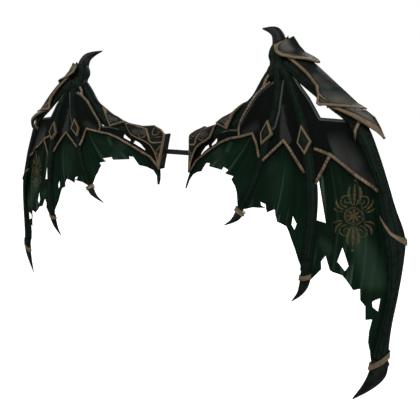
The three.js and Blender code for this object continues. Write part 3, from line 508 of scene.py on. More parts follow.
def grid_shape(grid, wrap=False, loop=False, capped=False, **values):
    """Faces over a grid of points, row by row. wrap joins the last column to the first, loop
    the last row to the first, and capped closes both ends with a fan from their middles."""
    count, sides = grid.shape[:2]
    index = np.arange(count * sides).reshape(count, sides)
    index = np.hstack([index, index[:, :1]]) if wrap else index
    index = np.vstack([index, index[:1]]) if loop else index
    quads = np.stack([index[:-1, :-1], index[:-1, 1:], index[1:, 1:], index[1:, :-1]], axis=-1)
    faces = quads.reshape(-1, 4).tolist()
    points = grid.reshape(-1, 3)
    values = {name: value.reshape(count * sides, -1) for name, value in values.items()}
    if capped:
        for ring, turn in ((0, -1), (count - 1, 1)):
            edge = np.stack([index[ring, :-1], index[ring, 1:]], axis=-1)[:, ::turn]
            fan = np.hstack([np.full((len(edge), 1), len(points)), edge])
            faces += fan.tolist()
            ends = index[ring, :sides]
            points = np.vstack([points, points[ends].mean(axis=0)])
            values = {n: np.vstack([v, v[ends].mean(axis=0)]) for n, v in values.items()}
    return turned_out(shape(points, faces, **values))


def turned_out(made):
    """The shape with its faces turned round where its signed volume is below nothing: the sum
    over its triangles of a corner times the cross product of the others."""
    points = made["points"] - made["points"].mean(axis=0)
    corners = np.array([[f[0], f[i], f[i + 1]] for f in made["faces"] for i in range(1, len(f) - 1)])
    first, second, third = (points[corners[:, i]] for i in range(3))
    if np.einsum("ij,ij->", first, np.cross(second, third)) < 0:
        made["faces"] = [face[::-1] for face in made["faces"]]
    return made


def joined(shapes):
    """Several shapes with the same values as one."""
    faces, offset = [], 0
    for each in shapes:
        faces += [[i + offset for i in face] for face in each["faces"]]
        offset += len(each["points"])
    values = {
        name: np.vstack([each["values"][name] for each in shapes])
        for name in shapes[0]["values"]}
    return shape(np.vstack([each["points"] for each in shapes]), faces, **values)


def make_pair(name, made, material, nodes, wall=None, offset=0.0):
    """Puts the shape and its mirror image into the scene, each on the body root in place of
    its CAD nodes, with a wall of even thickness where one is given."""
    pieces = []
    for side, mirror in (("right", 1), ("left", -1)):
        mesh = bpy.data.meshes.new(f"{side}_{name}")
        faces = made["faces"] if mirror > 0 else [face[::-1] for face in made["faces"]]
        mesh.from_pydata((made["points"] * [mirror, 1, 1]).tolist(), [], faces)
        for label, value in made["values"].items():
            kind, column = ("FLOAT", "value") if value.shape[1] == 1 else ("FLOAT_VECTOR", "vector")
            layer = mesh.attributes.new(label, kind, "POINT")
            layer.data.foreach_set(column, value.astype(np.float32).ravel())
        mesh.polygons.foreach_set("use_smooth", np.ones(len(mesh.polygons), bool))
        mesh.materials.append(material)
        mesh.update()
        piece = bpy.data.objects.new(f"{side}_{name}", mesh)
        bpy.context.scene.collection.objects.link(piece)
        if wall:
            solid = piece.modifiers.new("Wall", "SOLIDIFY")
            solid.thickness = wall
            solid.offset = offset
        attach(piece, "root")
        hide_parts(*(f"{side}_{node}" for node in nodes))
        pieces.append(piece)
    return pieces


# Panels between two bones

BAYS = {
    "inner": (ROOT_LINE, FINGER_INNER, INNER_FOLDS),
    "middle": (FINGER_INNER, FINGER_MIDDLE, MIDDLE_FOLDS),
    "outer": (FINGER_MIDDLE, FINGER_OUTER, OUTER_FOLDS),
}


def fold_height(folds, across, down):
    """Height of a panel's folds: each is a ridge with a square fall to both sides, that swells
    and ebbs down the panel as a sine, less a sag towards the wearer between the bones."""
    down = np.clip(down, 0, 1)
    height = -SAG_DEPTH * np.sin(np.pi * np.clip(across, 0, 1)) * np.sin(np.pi * down / 2)
    for middle, width, share, start, end in folds:
        reach = np.maximum(0, 1 - np.abs(across - middle) / (2 * width))
        along = np.clip((down - start) / (end - start), 0, 1)
        height = height + FOLD_HEIGHT * share * reach * reach * np.sin(np.pi * along) ** .75
    return height


def bay_point(bay, across, down, layer):
    """A point of a panel's layer: the two bones' lines at a share of their lengths, mixed by
    the share across, then as far behind the sheet as the layer, the bones and the folds say."""
    inner_rows, outer_rows, folds = BAYS[bay]
    ends = [smooth(line[:, :3]) for line in (inner_rows, outer_rows)]
    inner, outer = (lookup(line, length_keys(line), down) for line in ends)
    row = mix(inner, outer, across[..., None])
    behind = layer + row[..., 2] * STAND_OFF + fold_height(folds, across, down)
    return place(row[..., 0], row[..., 1], behind)


def bay_shares(bay, layer, target):
    """The shares across and down of points whose x and z are given: the nearest point of a
    coarse net, then Newton steps with slopes taken from small differences."""
    net = np.stack(np.meshgrid(np.linspace(0, 1, 25), np.linspace(0, 1, 61)), axis=-1).reshape(-1, 2)
    spots = bay_point(bay, net[:, 0], net[:, 1], layer)[:, [0, 2]]
    gaps = np.empty(len(target), int)
    for start in range(0, len(target), 4000):
        part = target[start:start + 4000]
        gaps[start:start + 4000] = ((part[:, None] - spots[None]) ** 2).sum(axis=2).argmin(axis=1)
    shares = net[gaps].copy()
    step = NEWTON_STEP
    for _ in range(NEWTON_ROUNDS):
        across, down = shares.T
        here = bay_point(bay, across, down, layer)[:, [0, 2]]
        by_across = (bay_point(bay, across + step, down, layer)[:, [0, 2]] - here) / step
        by_down = (bay_point(bay, across, down + step, layer)[:, [0, 2]] - here) / step
        miss = here - target
        area = by_across[:, 0] * by_down[:, 1] - by_across[:, 1] * by_down[:, 0]
        area = np.where(np.abs(area) < 1e-5, 1e-5, area)
        move = np.stack([
            miss[:, 0] * by_down[:, 1] - miss[:, 1] * by_down[:, 0],
            miss[:, 1] * by_across[:, 0] - miss[:, 0] * by_across[:, 1]], axis=-1) / area[:, None]
        shares = np.clip(shares - np.clip(move, -.05, .05), -.15, 1.15)
    return shares


def bone_side(line, first, second):
    """The part of a bone's line whose height lies between two places, in their order."""
    line = smooth(line[:, :3])[:, :2]
    inside = (line[:, 1] - first[1]) * (line[:, 1] - second[1]) < 0
    part = line[inside]
    return part[::-1] if first[1] < second[1] else part


def fold_lines(bay, layer):
    """The crests of a panel's folds, as lines of x and z."""
    lines = []
    for middle, _, _, start, end in BAYS[bay][2]:
        down = np.linspace(start, end, 40)
        across = np.full_like(down, max(middle, .02))
        lines.append(bay_point(bay, across, down, layer)[:, [0, 2]])
    return lines


def ragged(line, size):
    """A torn edge's line with small even waves to both sides, two of them of different lengths."""
    steps = np.gradient(line, axis=0)
    side = unit(np.stack([-steps[:, 1], steps[:, 0]], axis=-1) + 1e-9)
    run = np.concatenate([[0], np.cumsum(np.linalg.norm(np.diff(line, axis=0), axis=1))])
    wave = .6 * np.sin(run * 1150) + .4 * np.sin(run * 2330 + 1)
    return line + side * (size * wave)[:, None]


def cut_panel(bay, layer, outline, holes, spacing, dense=None):
    """A panel cut to an outline: the outline, its holes, the folds' crests and an even net of
    points are joined into Delaunay triangles in x and z, and each point is carried back onto
    the panel. Points of a dense box get a finer net, and no net point lies close to a crest."""
    low, high = outline.min(axis=0), outline.max(axis=0)
    net = np.stack(np.meshgrid(
        np.arange(low[0], high[0], spacing), np.arange(low[1], high[1], spacing)), axis=-1)
    net[::2, :, 0] += spacing / 2
    nets = [(net.reshape(-1, 2), spacing)]
    if dense is not None:
        (left, bottom), (right, top), fine = dense
        finer = np.meshgrid(np.arange(left, right, fine), np.arange(bottom, top, fine))
        nets.append((np.stack(finer, axis=-1).reshape(-1, 2), fine))
    crests = fold_lines(bay, layer)
    parts = [outline, *holes]
    for spots, step in nets:
        clear = np.min([line_distance(spots, crest) for crest in crests], axis=0)
        parts.append(spots[clear > step * .4])
    starts = np.cumsum([0] + [len(part) for part in parts + crests])
    loops = [list(range(starts[i], starts[i + 1])) for i in range(1 + len(holes))]
    turned = [
        loop if loop_area(part) > 0 else loop[::-1]
        for loop, part in zip(loops, [outline, *holes])]
    edges = [
        (i, i + 1) for n in range(len(parts), len(parts) + len(crests))
        for i in range(starts[n], starts[n + 1] - 1)]
    coords = [Vector(pair) for pair in np.vstack(parts + crests).tolist()]
    made = delaunay_2d_cdt(coords, edges, turned, 1, 1e-6, True)
    faces = [face for face, source in zip(made[2], made[5]) if list(source) == [0]]
    spots = np.array([tuple(spot) for spot in made[0]])
    used = np.unique(np.array(faces))
    renumber = np.full(len(spots), -1)
    renumber[used] = np.arange(len(used))
    faces = renumber[np.array(faces)]
    spots = spots[used]
    shares = bay_shares(bay, layer, spots)
    points = bay_point(bay, shares[:, 0], shares[:, 1], layer)
    points[:, [0, 2]] = spots
    first, second, third = (points[faces[:, i]] for i in range(3))
    if np.cross(second - first, third - first)[:, 1].sum() > 0:
        faces = faces[:, ::-1]
    return points, faces.tolist(), shares


def loop_area(loop):
    """Signed area of a closed flat line: half the sum of its points' cross products."""
    after = np.roll(loop, -1, axis=0)
    return (loop[:, 0] * after[:, 1] - loop[:, 1] * after[:, 0]).sum() / 2


def crest_field(bay, shares):
    """How near a point lies to a fold's crest, 1 on it and 0 away from it, by the same fall
    along the fold as its height has."""
    across, down = shares.T
    field = np.zeros(len(shares))
    for middle, width, share, start, end in BAYS[bay][2]:
        if share > 0:
            reach = np.maximum(0, 1 - np.abs(across - middle) / (.35 * width))
            along = np.clip((down - start) / (end - start), 0, 1)
            field = np.maximum(field, reach * np.sin(np.pi * along) ** .5 * min(share, 1))
    return field


MEMBRANES = {
    "inner": (TRIM_INNER, MEMBRANE_INNER_EDGE, []),
    "middle": (TRIM_MIDDLE, MEMBRANE_MIDDLE_EDGE, MEMBRANE_MIDDLE_HOLES),
    "outer": (TRIM_OUTER, MEMBRANE_OUTER_EDGE, MEMBRANE_OUTER_HOLES),
}
WEBS = {
    "inner": (TRIM_INNER, WEB_INNER_TOP, WEB_INNER_WINDOWS),
    "middle": (TRIM_MIDDLE, WEB_MIDDLE_TOP, []),
    "outer": (TRIM_OUTER, WEB_OUTER_TOP, []),
}


def membrane_shape(bay, spacing, raggedness):
    """A torn membrane, with where it is torn, creased and painted, how far it lies below its trim for the
    painted shade there, and its painted highlights.
    """
    trim, edge, holes = MEMBRANES[bay]
    inner_line, outer_line = BAYS[bay][:2]
    top = trim + [0, LAP / WING_HEIGHT]
    down = bone_side(outer_line, top[-1], edge[0])
    back_up = bone_side(inner_line, edge[-1], top[0])
    torn = evened(flat(edge), EDGE_STEP)
    torn[1:-1] = ragged(torn, raggedness)[1:-1]
    rest = evened(flat(np.vstack([edge[-1:], back_up, top, down, edge[:1]])), PANEL_STEP)[1:-1]
    outline = np.vstack([torn, rest])
    rims = [ragged(evened(flat(hole), EDGE_STEP, True), raggedness) for hole in holes]
    medallion = medallion_strokes() if bay == "outer" else []
    dense = None
    if medallion:
        corners = np.vstack(medallion)[:, :2]
        dense = (corners.min(axis=0) - .002, corners.max(axis=0) + .002, MEDALLION_STEP)
    points, faces, shares = cut_panel(bay, 0.0, outline, rims, spacing, dense)
    spots = points[:, [0, 2]]
    tears = [flat(edge)] + [flat(np.vstack([hole, hole[:1]])) for hole in holes]
    torn_by = np.min([line_distance(spots, line) for line in tears], axis=0)
    paint = stroke_field(spots, medallion) if medallion else np.full(len(spots), -.05)
    return shape(
        points, faces, grain=np.column_stack([shares, np.zeros(len(shares))]),
        crest=crest_field(bay, shares)[:, None], torn=torn_by[:, None], paint=paint[:, None],
        under=line_distance(spots, flat(trim))[:, None],
        sheen=panel_sheen(f"membrane_{bay}", spots))


def sheen_field(points, sheens):
    """How strong the broad sheens are: each is its strength inside its stroke, falls smoothly to
    nothing at its fade, and ends sharply at the line that cuts it; the strongest counts."""
    field = np.zeros(len(points))
    for strength, fade, stroke, cut in sheens:
        glow = strength * ease(stroke_field(points, [stroke]), -fade / 1000, 0)
        if cut is not None:
            leg = unit(cut[1] - cut[0])
            side = (points[:, 0] - cut[0, 0]) * leg[1] - (points[:, 1] - cut[0, 1]) * leg[0]
            glow = glow * ease(side, -.0005, .0025)
        field = np.maximum(field, glow)
    return field


def panel_sheen(name, spots):
    """The broad sheens of a panel at its points' x and z."""
    scale = rows([HALF_SPAN, WING_HEIGHT, .001])
    return sheen_field(spots, [
        (strength, fade, rows(stroke) * scale, None if cut is None else flat(rows(cut)))
        for strength, fade, stroke, cut in PANEL_SHEENS[name]])[:, None]


def web_shape(bay, spacing):
    """A dark web, with how far a point lies from its free edges, and its broad sheens."""
    trim, top, windows = WEBS[bay]
    outline = evened(flat(np.vstack([trim, top])), PANEL_STEP, True)
    rims = [evened(flat(window), WINDOW_STEP, True) for window in windows]
    points, faces, shares = cut_panel(bay, WEB_LAYER, outline, rims, spacing)
    spots = points[:, [0, 2]]
    free = flat(np.vstack([trim[-1:], top, trim[:1]]))
    return shape(
        points, faces, grain=np.column_stack([shares, np.zeros(len(shares))]),
        rim=line_distance(spots, free)[:, None],
        sheen=panel_sheen(f"web_{bay}", spots))


def circle(middle, radius, width, start=0.0, turns=1.0, end_radius=None, steps=40):
    """A stroke round a middle: a circle, or a spiral where the end has another radius."""
    share = np.linspace(0, 1, steps)
    angle = start + 2 * np.pi * turns * share
    reach = mix(radius, radius if end_radius is None else end_radius, share)
    taper = width * (1 - .45 * share * (end_radius is not None))
    return np.column_stack([
        middle[0] + reach * np.cos(angle), middle[1] + reach * np.sin(angle), taper])


def leaf(start, bend, end, width, steps=14):
    """A leaf stroke along the curve start, bend, end, widest in its middle as a sine."""
    share = np.linspace(0, 1, steps)[:, None]
    line = (1 - share) ** 2 * rows(start) + 2 * share * (1 - share) * rows(bend) + share ** 2 * rows(end)
    return np.column_stack([line, .0003 + width * np.sin(np.pi * share[:, 0]) ** .8])


def medallion_strokes():
    """The painted medallion: a rosette in two rings, with scrolls and leaves above and below."""
    turn = np.linspace(0, 2 * np.pi, 9)[:-1]
    strokes = [circle((0, 0), .0165, .0009), circle((0, 0), .0135, .0005), circle((0, 0), .0026, .0012)]
    for angle in turn:
        way = rows([math.cos(angle), math.sin(angle)])
        strokes.append(leaf(way * .0035, way * .008, way * .0125, .0019))
    for side in (-1, 1):
        for up in (-1, 1):
            strokes.append(circle(
                (side * .0135, up * .030), .0125, .0013, start=-up * np.pi / 2,
                turns=side * up * 1.35, end_radius=.0025))
            flip = rows([side, up])
            for start, bend, end, width in MEDALLION_LEAVES:
                strokes.append(leaf(flip * start, flip * bend, flip * end, width))
    for up in (-1, 1):
        strokes.append(leaf((0, up * .020), (0, up * .040), (0, up * .064), .0024))
        strokes.append(circle((0, up * .0685), .0012, .0012))
    lean = rows([[math.cos(MEDALLION_LEAN), -math.sin(MEDALLION_LEAN)],
                 [math.sin(MEDALLION_LEAN), math.cos(MEDALLION_LEAN)]])
    middle = MEDALLION_PLACE * [HALF_SPAN, WING_HEIGHT]
    return [np.column_stack([stroke[:, :2] @ lean.T + middle, stroke[:, 2]]) for stroke in strokes]


# Trims

def trim_shape(bay, lines, width, height, ridge):
    """Domed ribbons along lines on a panel: mitred sides in x and z, carried onto the panel,
    with a rounded top, two rims and small cross ridges."""
    return joined([ribbon_shape(bay, flat(line), width, height, ridge) for line in lines])


def ribbon_shape(bay, line, width, height, ridge):
    """One ribbon. Its section rises as one less the fourth power of the place across it, with
    a bead near each edge, and a cosine of the run makes the ridges across its middle."""
    path = evened(line, EDGE_STEP)
    legs = unit(np.diff(line, axis=0))
    arriving = np.vstack([legs[:1], legs])
    leaving = np.vstack([legs, legs[-1:]])
    bisector = unit(arriving + leaving)
    side = np.stack([-bisector[:, 1], bisector[:, 0]], axis=-1)
    plain = np.stack([-leaving[:, 1], leaving[:, 0]], axis=-1)
    stretch = np.minimum(2.2, 1 / np.abs((side * plain).sum(axis=1)))
    corner_sides = side * stretch[:, None]
    run = np.concatenate([[0], np.cumsum(np.linalg.norm(np.diff(path, axis=0), axis=1))])
    corners = np.concatenate([[0], np.cumsum(np.linalg.norm(np.diff(line, axis=0), axis=1))])
    near = np.abs(run[:, None] - corners[None]).argmin(axis=1)
    gap = np.abs(run - corners[near])
    leg = np.clip(np.searchsorted(corners, run, side="right") - 1, 0, len(legs) - 1)
    straight = np.stack([-legs[leg, 1], legs[leg, 0]], axis=-1)
    part = np.clip(gap / (width * .6), 0, 1)[:, None]
    sides = mix(corner_sides[near], straight, part)
    place_across = np.linspace(-1, 1, 13)
    spots = path[:, None] + sides[:, None] * (place_across * width / 2)[None, :, None]
    shares = bay_shares(bay, TRIM_LAYER, spots.reshape(-1, 2))
    back = bay_point(bay, shares[:, 0], shares[:, 1], TRIM_LAYER - TRIM_SINK).reshape(*spots.shape[:2], 3)
    rim = .22 * np.exp(-((np.abs(place_across) - .78) / .12) ** 2)
    dome = (.72 * (1 - place_across ** 4) + rim)[None] * height
    worked = 1 + .16 * np.cos(2 * np.pi * run / ridge)[:, None] * (1 - place_across ** 2)[None]
    tops = bay_point(bay, shares[:, 0], shares[:, 1], TRIM_LAYER).reshape(back.shape)
    lift = unit(tops - back)
    front = back + lift * (TRIM_SINK + dome * worked)[..., None]
    ring = np.concatenate([front, back[:, ::-1]], axis=1)
    level = np.concatenate([dome / height * worked, np.zeros_like(back[..., 0])], axis=1)
    return grid_shape(ring, wrap=True, capped=True, rise=level)


# Bones and claws

def bone_table(line, size, turn=0.0):
    """A bone along its smoothed centre line: for each row the middle, the ways across and out
    of its back, half its width and half its depth. The back is the sheet's normal made square
    to the line and turned about it."""
    line = smooth(line)
    middles = place(line[:, 0], line[:, 1], line[:, 2] * STAND_OFF)
    along = unit(np.gradient(middles, axis=0))
    normal = sheet_normal(line[:, 0], line[:, 1])
    back = unit(normal - along * (normal * along).sum(axis=1, keepdims=True))
    angle = turn * (line[:, 5:6] if line.shape[1] > 5 else np.zeros((len(line), 1)))
    back = back * np.cos(angle) + np.cross(along, back) * np.sin(angle)
    half_width = np.maximum(line[:, 3:4], .03) * size[0] / 2
    half_depth = np.maximum(line[:, 4:5], .03) * size[1] / 2
    return np.hstack([middles, np.cross(along, back), back, half_width, half_depth])


def bone_keys(table):
    """Length along a bone at each row of its table."""
    steps = np.linalg.norm(np.diff(table[:, :3], axis=0), axis=1)
    return np.concatenate([[0], np.cumsum(steps)])


def section(angle, roundness=.35):
    """A bone's section at an angle: a hexagon with a ridge on its back, mixed with an ellipse."""
    turn = (angle - np.pi / 6) / (np.pi / 3)
    corner = np.floor(turn)
    share = turn - corner

    def vertex(number):
        at = np.pi / 6 + number * np.pi / 3
        return np.stack([np.cos(at) / math.cos(np.pi / 6), np.sin(at)], axis=-1)

    straight = mix(vertex(corner), vertex(corner + 1), share[..., None])
    curved = np.stack([np.cos(angle), np.sin(angle)], axis=-1)
    return mix(straight, curved, roundness)


def bone_point(table, keys, length, angle, grow=0.0):
    """A point of a bone's skin at a length along it and an angle round it, moved out by grow."""
    row = lookup(table, keys, length)
    reach = section(angle)
    wide = reach[..., :1] * (row[..., 9:10] + np.asarray(grow)[..., None])
    deep = reach[..., 1:] * (row[..., 10:11] + np.asarray(grow)[..., None])
    return row[..., :3] + row[..., 3:6] * wide + row[..., 6:9] * deep


def bone_shape(table, start, end, swell=None, step=.003):
    """The skin of a bone between two lengths, with rounded ends that close on their middles."""
    keys = bone_keys(table)
    count = max(8, int((end - start) / step))
    length = np.linspace(start, end, count)
    rounding = np.minimum(length - start, end - length)
    shrink = np.sqrt(np.clip(1 - (1 - np.clip(rounding / END_ROUNDING, 0, 1)) ** 2, .02, 1))
    angle = np.linspace(0, 2 * np.pi, ROUND_STEPS, endpoint=False)
    lengths, angles = np.meshgrid(length, angle, indexing="ij")
    reach = section(angles)
    row = lookup(table, keys, lengths)
    extra = swell(lengths, angles) if swell else 0.0
    factor = shrink[:, None] * (1 + extra)
    skin = (
        row[..., :3] + row[..., 3:6] * (reach[..., :1] * row[..., 9:10] * factor[..., None])
        + row[..., 6:9] * (reach[..., 1:] * row[..., 10:11] * factor[..., None]))
    grain = np.stack([np.cos(angles), np.sin(angles), lengths], axis=-1)
    return grid_shape(skin, wrap=True, capped=True, grain=grain)


def line_height(points, line):
    """How far points lie above a flat line, square to its chord: the line is read as a height
    over the chord between its ends."""
    chord = line[-1] - line[0]
    length = np.linalg.norm(chord)
    way = chord / length
    side = rows([-way[1], way[0]])
    along = (points - line[0]) @ way
    height = (points - line[0]) @ side
    rest = (line - line[0]) @ way, (line - line[0]) @ side
    return height - np.interp(along, *rest)


def ring_length(table, line):
    """The length along a bone where its middle crosses a flat line."""
    keys = bone_keys(table)
    dense = np.linspace(0, keys[-1], 4000)
    middle = lookup(table, keys, dense)[:, [0, 2]]
    height = line_height(middle, line)
    chord = line[-1] - line[0]
    along = (middle - line[0]) @ chord / (chord @ chord)
    crossing = np.abs(height) + 10 * np.maximum(0, np.abs(along - .5) - 1)
    return dense[crossing.argmin()]


def band_shape(table, line, width, wall, pinch=0.0):
    """A band round a bone along a flat line: for each angle round the bone and place across the
    band, the length is found where the skin is that far from the line, by Newton steps. Its
    outer face is domed between two rims, and it narrows by the pinch to its inner side."""
    keys = bone_keys(table)
    start = ring_length(table, line)
    angle = np.linspace(0, 2 * np.pi, BAND_STEPS, endpoint=False)
    profile = rows([
        (-.96, .0), (-1, .35), (-1, .8), (-.9, 1), (-.74, 1), (-.62, .74), (-.4, .86), (0, .94),
        (.4, .86), (.62, .74), (.74, 1), (.9, 1), (1, .8), (1, .35), (.96, 0)])
    across, angles = np.meshgrid(profile[:, 0] * width / 2, angle, indexing="ij")
    across = across * (1 - pinch * (1 + np.cos(angles)) / 2)
    grow = np.broadcast_to((profile[:, 1] * wall)[:, None], across.shape)
    length = np.full(across.shape, start)
    for _ in range(BAND_ROUNDS):
        here = line_height(bone_point(table, keys, length, angles, grow)[..., [0, 2]], line)
        further = bone_point(table, keys, length + NEWTON_STEP, angles, grow)
        slope = (line_height(further[..., [0, 2]], line) - here) / NEWTON_STEP
        least = np.sign(slope + 1e-9) * BAND_LEAST_SLOPE
        slope = np.where(np.abs(slope) < BAND_LEAST_SLOPE, least, slope)
        move = (here - across) / slope
        length = length - np.clip(move, -BAND_LONGEST_MOVE, BAND_LONGEST_MOVE)
    skin = bone_point(table, keys, length, angles, grow)
    return grid_shape(skin, wrap=True, loop=True, rise=grow / wall)


def collar_shape():
    """The flared collar of the inner finger: the bone's section along a short line, with a waist
    between two beads."""
    middle = RING_INNER.mean(axis=0)
    way = rows([-.5 * COLLAR_LENGTH / HALF_SPAN, -COLLAR_LENGTH / WING_HEIGHT])
    ends = middle[None] + np.array([[-.5], [.5]]) * way
    line = np.column_stack([ends, np.zeros((2, 1)), np.ones((2, 2))])
    table = bone_table(line, COLLAR_SIZE)
    keys = bone_keys(table)
    share = rows([0, .02, .08, .16, .24, .34, .5, .66, .76, .84, .92, .98, 1])
    size = rows([.70, .90, .99, 1, .94, .88, .85, .88, .94, 1, .99, .90, .70])
    angle = np.linspace(0, 2 * np.pi, BAND_STEPS, endpoint=False)
    lengths, angles = np.meshgrid(share * keys[-1], angle, indexing="ij")
    row = lookup(table, keys, lengths)
    reach = section(angles) * size[:, None, None]
    skin = row[..., :3] + row[..., 3:6] * reach[..., :1] * row[..., 9:10]
    skin = skin + row[..., 6:9] * reach[..., 1:] * row[..., 10:11]
    rise = np.broadcast_to(size[:, None], angles.shape)
    return grid_shape(skin, wrap=True, capped=True, rise=rise)


# Plates

def plate_spot(table, along, across, lift=0.0):
    """A point of a plate: along counts its rows, across runs from its lower to its upper edge,
    and the crown is four times the share times the rest of it. Edges are straight between the
    rows, and the distances behind the sheet run smoothly through them."""
    keys = np.arange(len(table), dtype=float)
    row = lookup(table, keys, along)
    fine = smooth(table)
    soft = lookup(fine, np.linspace(0, len(table) - 1, len(fine)), along)
    out = mix(row[..., 0], row[..., 3], across)
    up = mix(row[..., 1], row[..., 4], across)
    behind = mix(soft[..., 2], soft[..., 5], across) * STAND_OFF
    crown = soft[..., 6] * PLATE_CROWN * 4 * across * (1 - across)
    return place(out, up, behind + crown + lift)


def plate_strokes(table, strokes):
    """Strokes given by row, share across and half width in millimetres, as points on a plate."""
    made = []
    for stroke in strokes:
        line = smooth(rows(stroke), 6)
        points = plate_spot(table, line[:, 0], line[:, 1])
        made.append(np.column_stack([points, line[:, 2] / 1000]))
    return made


def border_strokes(table, widths):
    """Strokes along a plate's four edges, with a half width in millimetres for each: lower,
    upper, first and last."""
    last = len(table) - 1
    count = np.linspace(0, last, 10 * last + 1)
    share = np.linspace(0, 1, 12)
    lines = (
        (count, np.zeros_like(count)), (count, np.ones_like(count)),
        (np.zeros_like(share), share), (np.full_like(share, last), share))
    made = []
    for (along, across), width in zip(lines, widths):
        if width > 0:
            points = plate_spot(table, along, across)
            made.append(np.column_stack([points, np.full(len(points), width / 1000)]))
    return made


def plate_shape(table, borders, strokes, sheens, skirt, relief, bead):
    """A plate's face as a fine grid, raised in relief where it is gold, with a bead along its
    borders, and rolled down at its rim. Its lower edge is turned in towards the bone by the
    skirt, which grows and ebbs along the plate as the root of a sine."""
    last = len(table) - 1
    middle = plate_spot(table, np.linspace(0, last, 60), np.full(60, .5))
    run = np.linalg.norm(np.diff(middle, axis=0), axis=1).sum()
    sides = plate_spot(table, np.repeat(np.linspace(0, last, 20), 2), np.tile([0., 1.], 20))
    breadth = np.linalg.norm(sides[1::2] - sides[::2], axis=1).max()
    along, across = np.meshgrid(
        np.linspace(0, last, int(run / PLATE_STEP)),
        np.linspace(0, 1, int(breadth / PLATE_STEP)), indexing="ij")
    spots = plate_spot(table, along, across)
    flat_spots = spots.reshape(-1, 3)
    border = stroke_field(flat_spots, border_strokes(table, borders))
    gold = np.maximum(border, stroke_field(flat_spots, plate_strokes(table, strokes)))
    rim = -stroke_field(flat_spots, border_strokes(table, (.001, .001, .001, .001)))
    sheen = sheen_field(flat_spots, [
        (strength, fade, plate_strokes(table, [stroke])[0], None)
        for strength, fade, stroke in sheens])
    border, gold, rim, sheen = (value.reshape(along.shape) for value in (border, gold, rim, sheen))
    lift = relief * ease(gold, -.0003, .0006) + bead * ease(border, .0004, .0030)
    lift = lift - ROLL_DEPTH * (1 - ease(rim, 0, ROLL_WIDTH))
    turned = np.linspace(1, .05, 8)[None]
    count = along[:, :1]
    depth = skirt * np.sqrt(np.sin(np.pi * np.clip(count / last, .02, .98))) * turned
    along = np.hstack([np.broadcast_to(count, depth.shape), along])
    across = np.hstack([np.broadcast_to(.05 * turned, depth.shape), across])
    lift = np.hstack([-ROLL_DEPTH - depth, lift])
    gold = np.hstack([np.full(depth.shape, -.006), gold])
    sheen = np.hstack([np.zeros(depth.shape), sheen])
    points = plate_spot(table, along, across, lift)
    grain = np.stack([along, across, np.zeros_like(along)], axis=-1)
    return grid_open(points, grain=grain, gold=gold, sheen=sheen)


def grid_open(points, **values):
    """An open grid whose faces look to the back of the wing."""
    made = grid_shape(points, **values)
    corners = np.array(made["faces"])
    first, second, third = (made["points"][corners[:, i]] for i in range(3))
    if np.cross(second - first, third - first)[:, 1].sum() > 0:
        made["faces"] = corners[:, ::-1].tolist()
    return made


def facing(made, way):
    """The open shape with its faces turned so that they look along a way."""
    corners = np.array(made["faces"])
    first, second, third = (made["points"][corners[:, i]] for i in range(3))
    if (np.cross(second - first, third - first) @ rows(way)).sum() < 0:
        made["faces"] = corners[:, ::-1].tolist()
    return made


def root_wall_shape(relief):
    """The flat end wall of the root plate: from the plate's root edge straight towards the
    wearer, with a gold rim beside the plate."""
    edge = smooth(ROOT_PLATE[-ROOT_EDGE_ROWS:, 3:6])
    line = place(edge[:, 0], edge[:, 1], edge[:, 2] * STAND_OFF - PLATE_WALL)
    keys = np.linspace(0, 1, len(line))
    along, reach = np.meshgrid(np.linspace(0, 1, 110), np.linspace(0, 1, 36), indexing="ij")
    points = lookup(line, keys, along)
    points[..., 1] += mix(-PLATE_WALL / 2, ROOT_WALL_DEPTH, reach)
    gold = .0035 - reach * ROOT_WALL_DEPTH
    points[..., 0] -= relief * ease(gold, -.0003, .0006)
    grain = np.stack([along * 3, reach, np.zeros_like(along)], axis=-1)
    made = grid_shape(points, grain=grain, gold=gold, sheen=np.zeros_like(gold))
    return facing(made, (-1, 0, 0))


def diamond_shape(corners):
    """A faceted boss: rings of the four corners drawn in to the middle by each profile's share
    and raised by its height, as a rounded frame round a low pyramid."""
    profile = rows([
        (1, 0), (1.03, .20), (1.03, .60), (.995, .75), (.93, .80), (.86, .77), (.80, .80),
        (.765, .75), (.72, .60), (.69, .58), (.50, .71), (.30, .85), (.12, .97), (.03, 1)])
    middle = corners.mean(axis=0)
    loop = np.vstack([corners, corners[:1]])
    around = lookup(loop, np.arange(5.), np.linspace(0, 4, 48, endpoint=False))
    scale, angle = np.meshgrid(profile[:, 0], np.arange(48), indexing="ij")
    spot = mix(middle, around[angle], scale[..., None])
    rise = np.broadcast_to(profile[:, 1:], scale.shape)
    points = place(spot[..., 0], spot[..., 1], spot[..., 2] * STAND_OFF + TRIM_LAYER + rise * DIAMOND_HEIGHT)
    radius = np.linalg.norm((corners[0] - middle)[:2] * [HALF_SPAN, WING_HEIGHT])
    gold = (scale - .735) * radius
    grain = np.stack([angle / 12., scale, np.zeros_like(rise)], axis=-1)
    return grid_shape(
        points, wrap=True, capped=True, grain=grain, gold=gold, sheen=np.zeros_like(gold))


# Shader maths

def tone(red, green, blue):
    """A colour given in 0 to 255 of a screen, as the light that shaders work with."""
    parts = [part / 255 for part in (red, green, blue)]
    return tuple(p / 12.92 if p < .04045 else ((p + .055) / 1.055) ** 2.4 for p in parts)


class Amount:
    """A number that varies over a surface. Sums, differences, products and powers with it add
    Math nodes."""

    def __init__(self, shader, socket):
        self.shader = shader
        self.socket = socket

    def __add__(self, other):
        return self.shader.maths("ADD", self, other)

    def __sub__(self, other):
        return self.shader.maths("SUBTRACT", self, other)

    def __mul__(self, other):
        return self.shader.maths("MULTIPLY", self, other)

    def __pow__(self, other):
        return self.shader.maths("POWER", self, other)

    def __rsub__(self, other):
        return self.shader.maths("SUBTRACT", other, self)

    __radd__ = __add__
    __rmul__ = __mul__


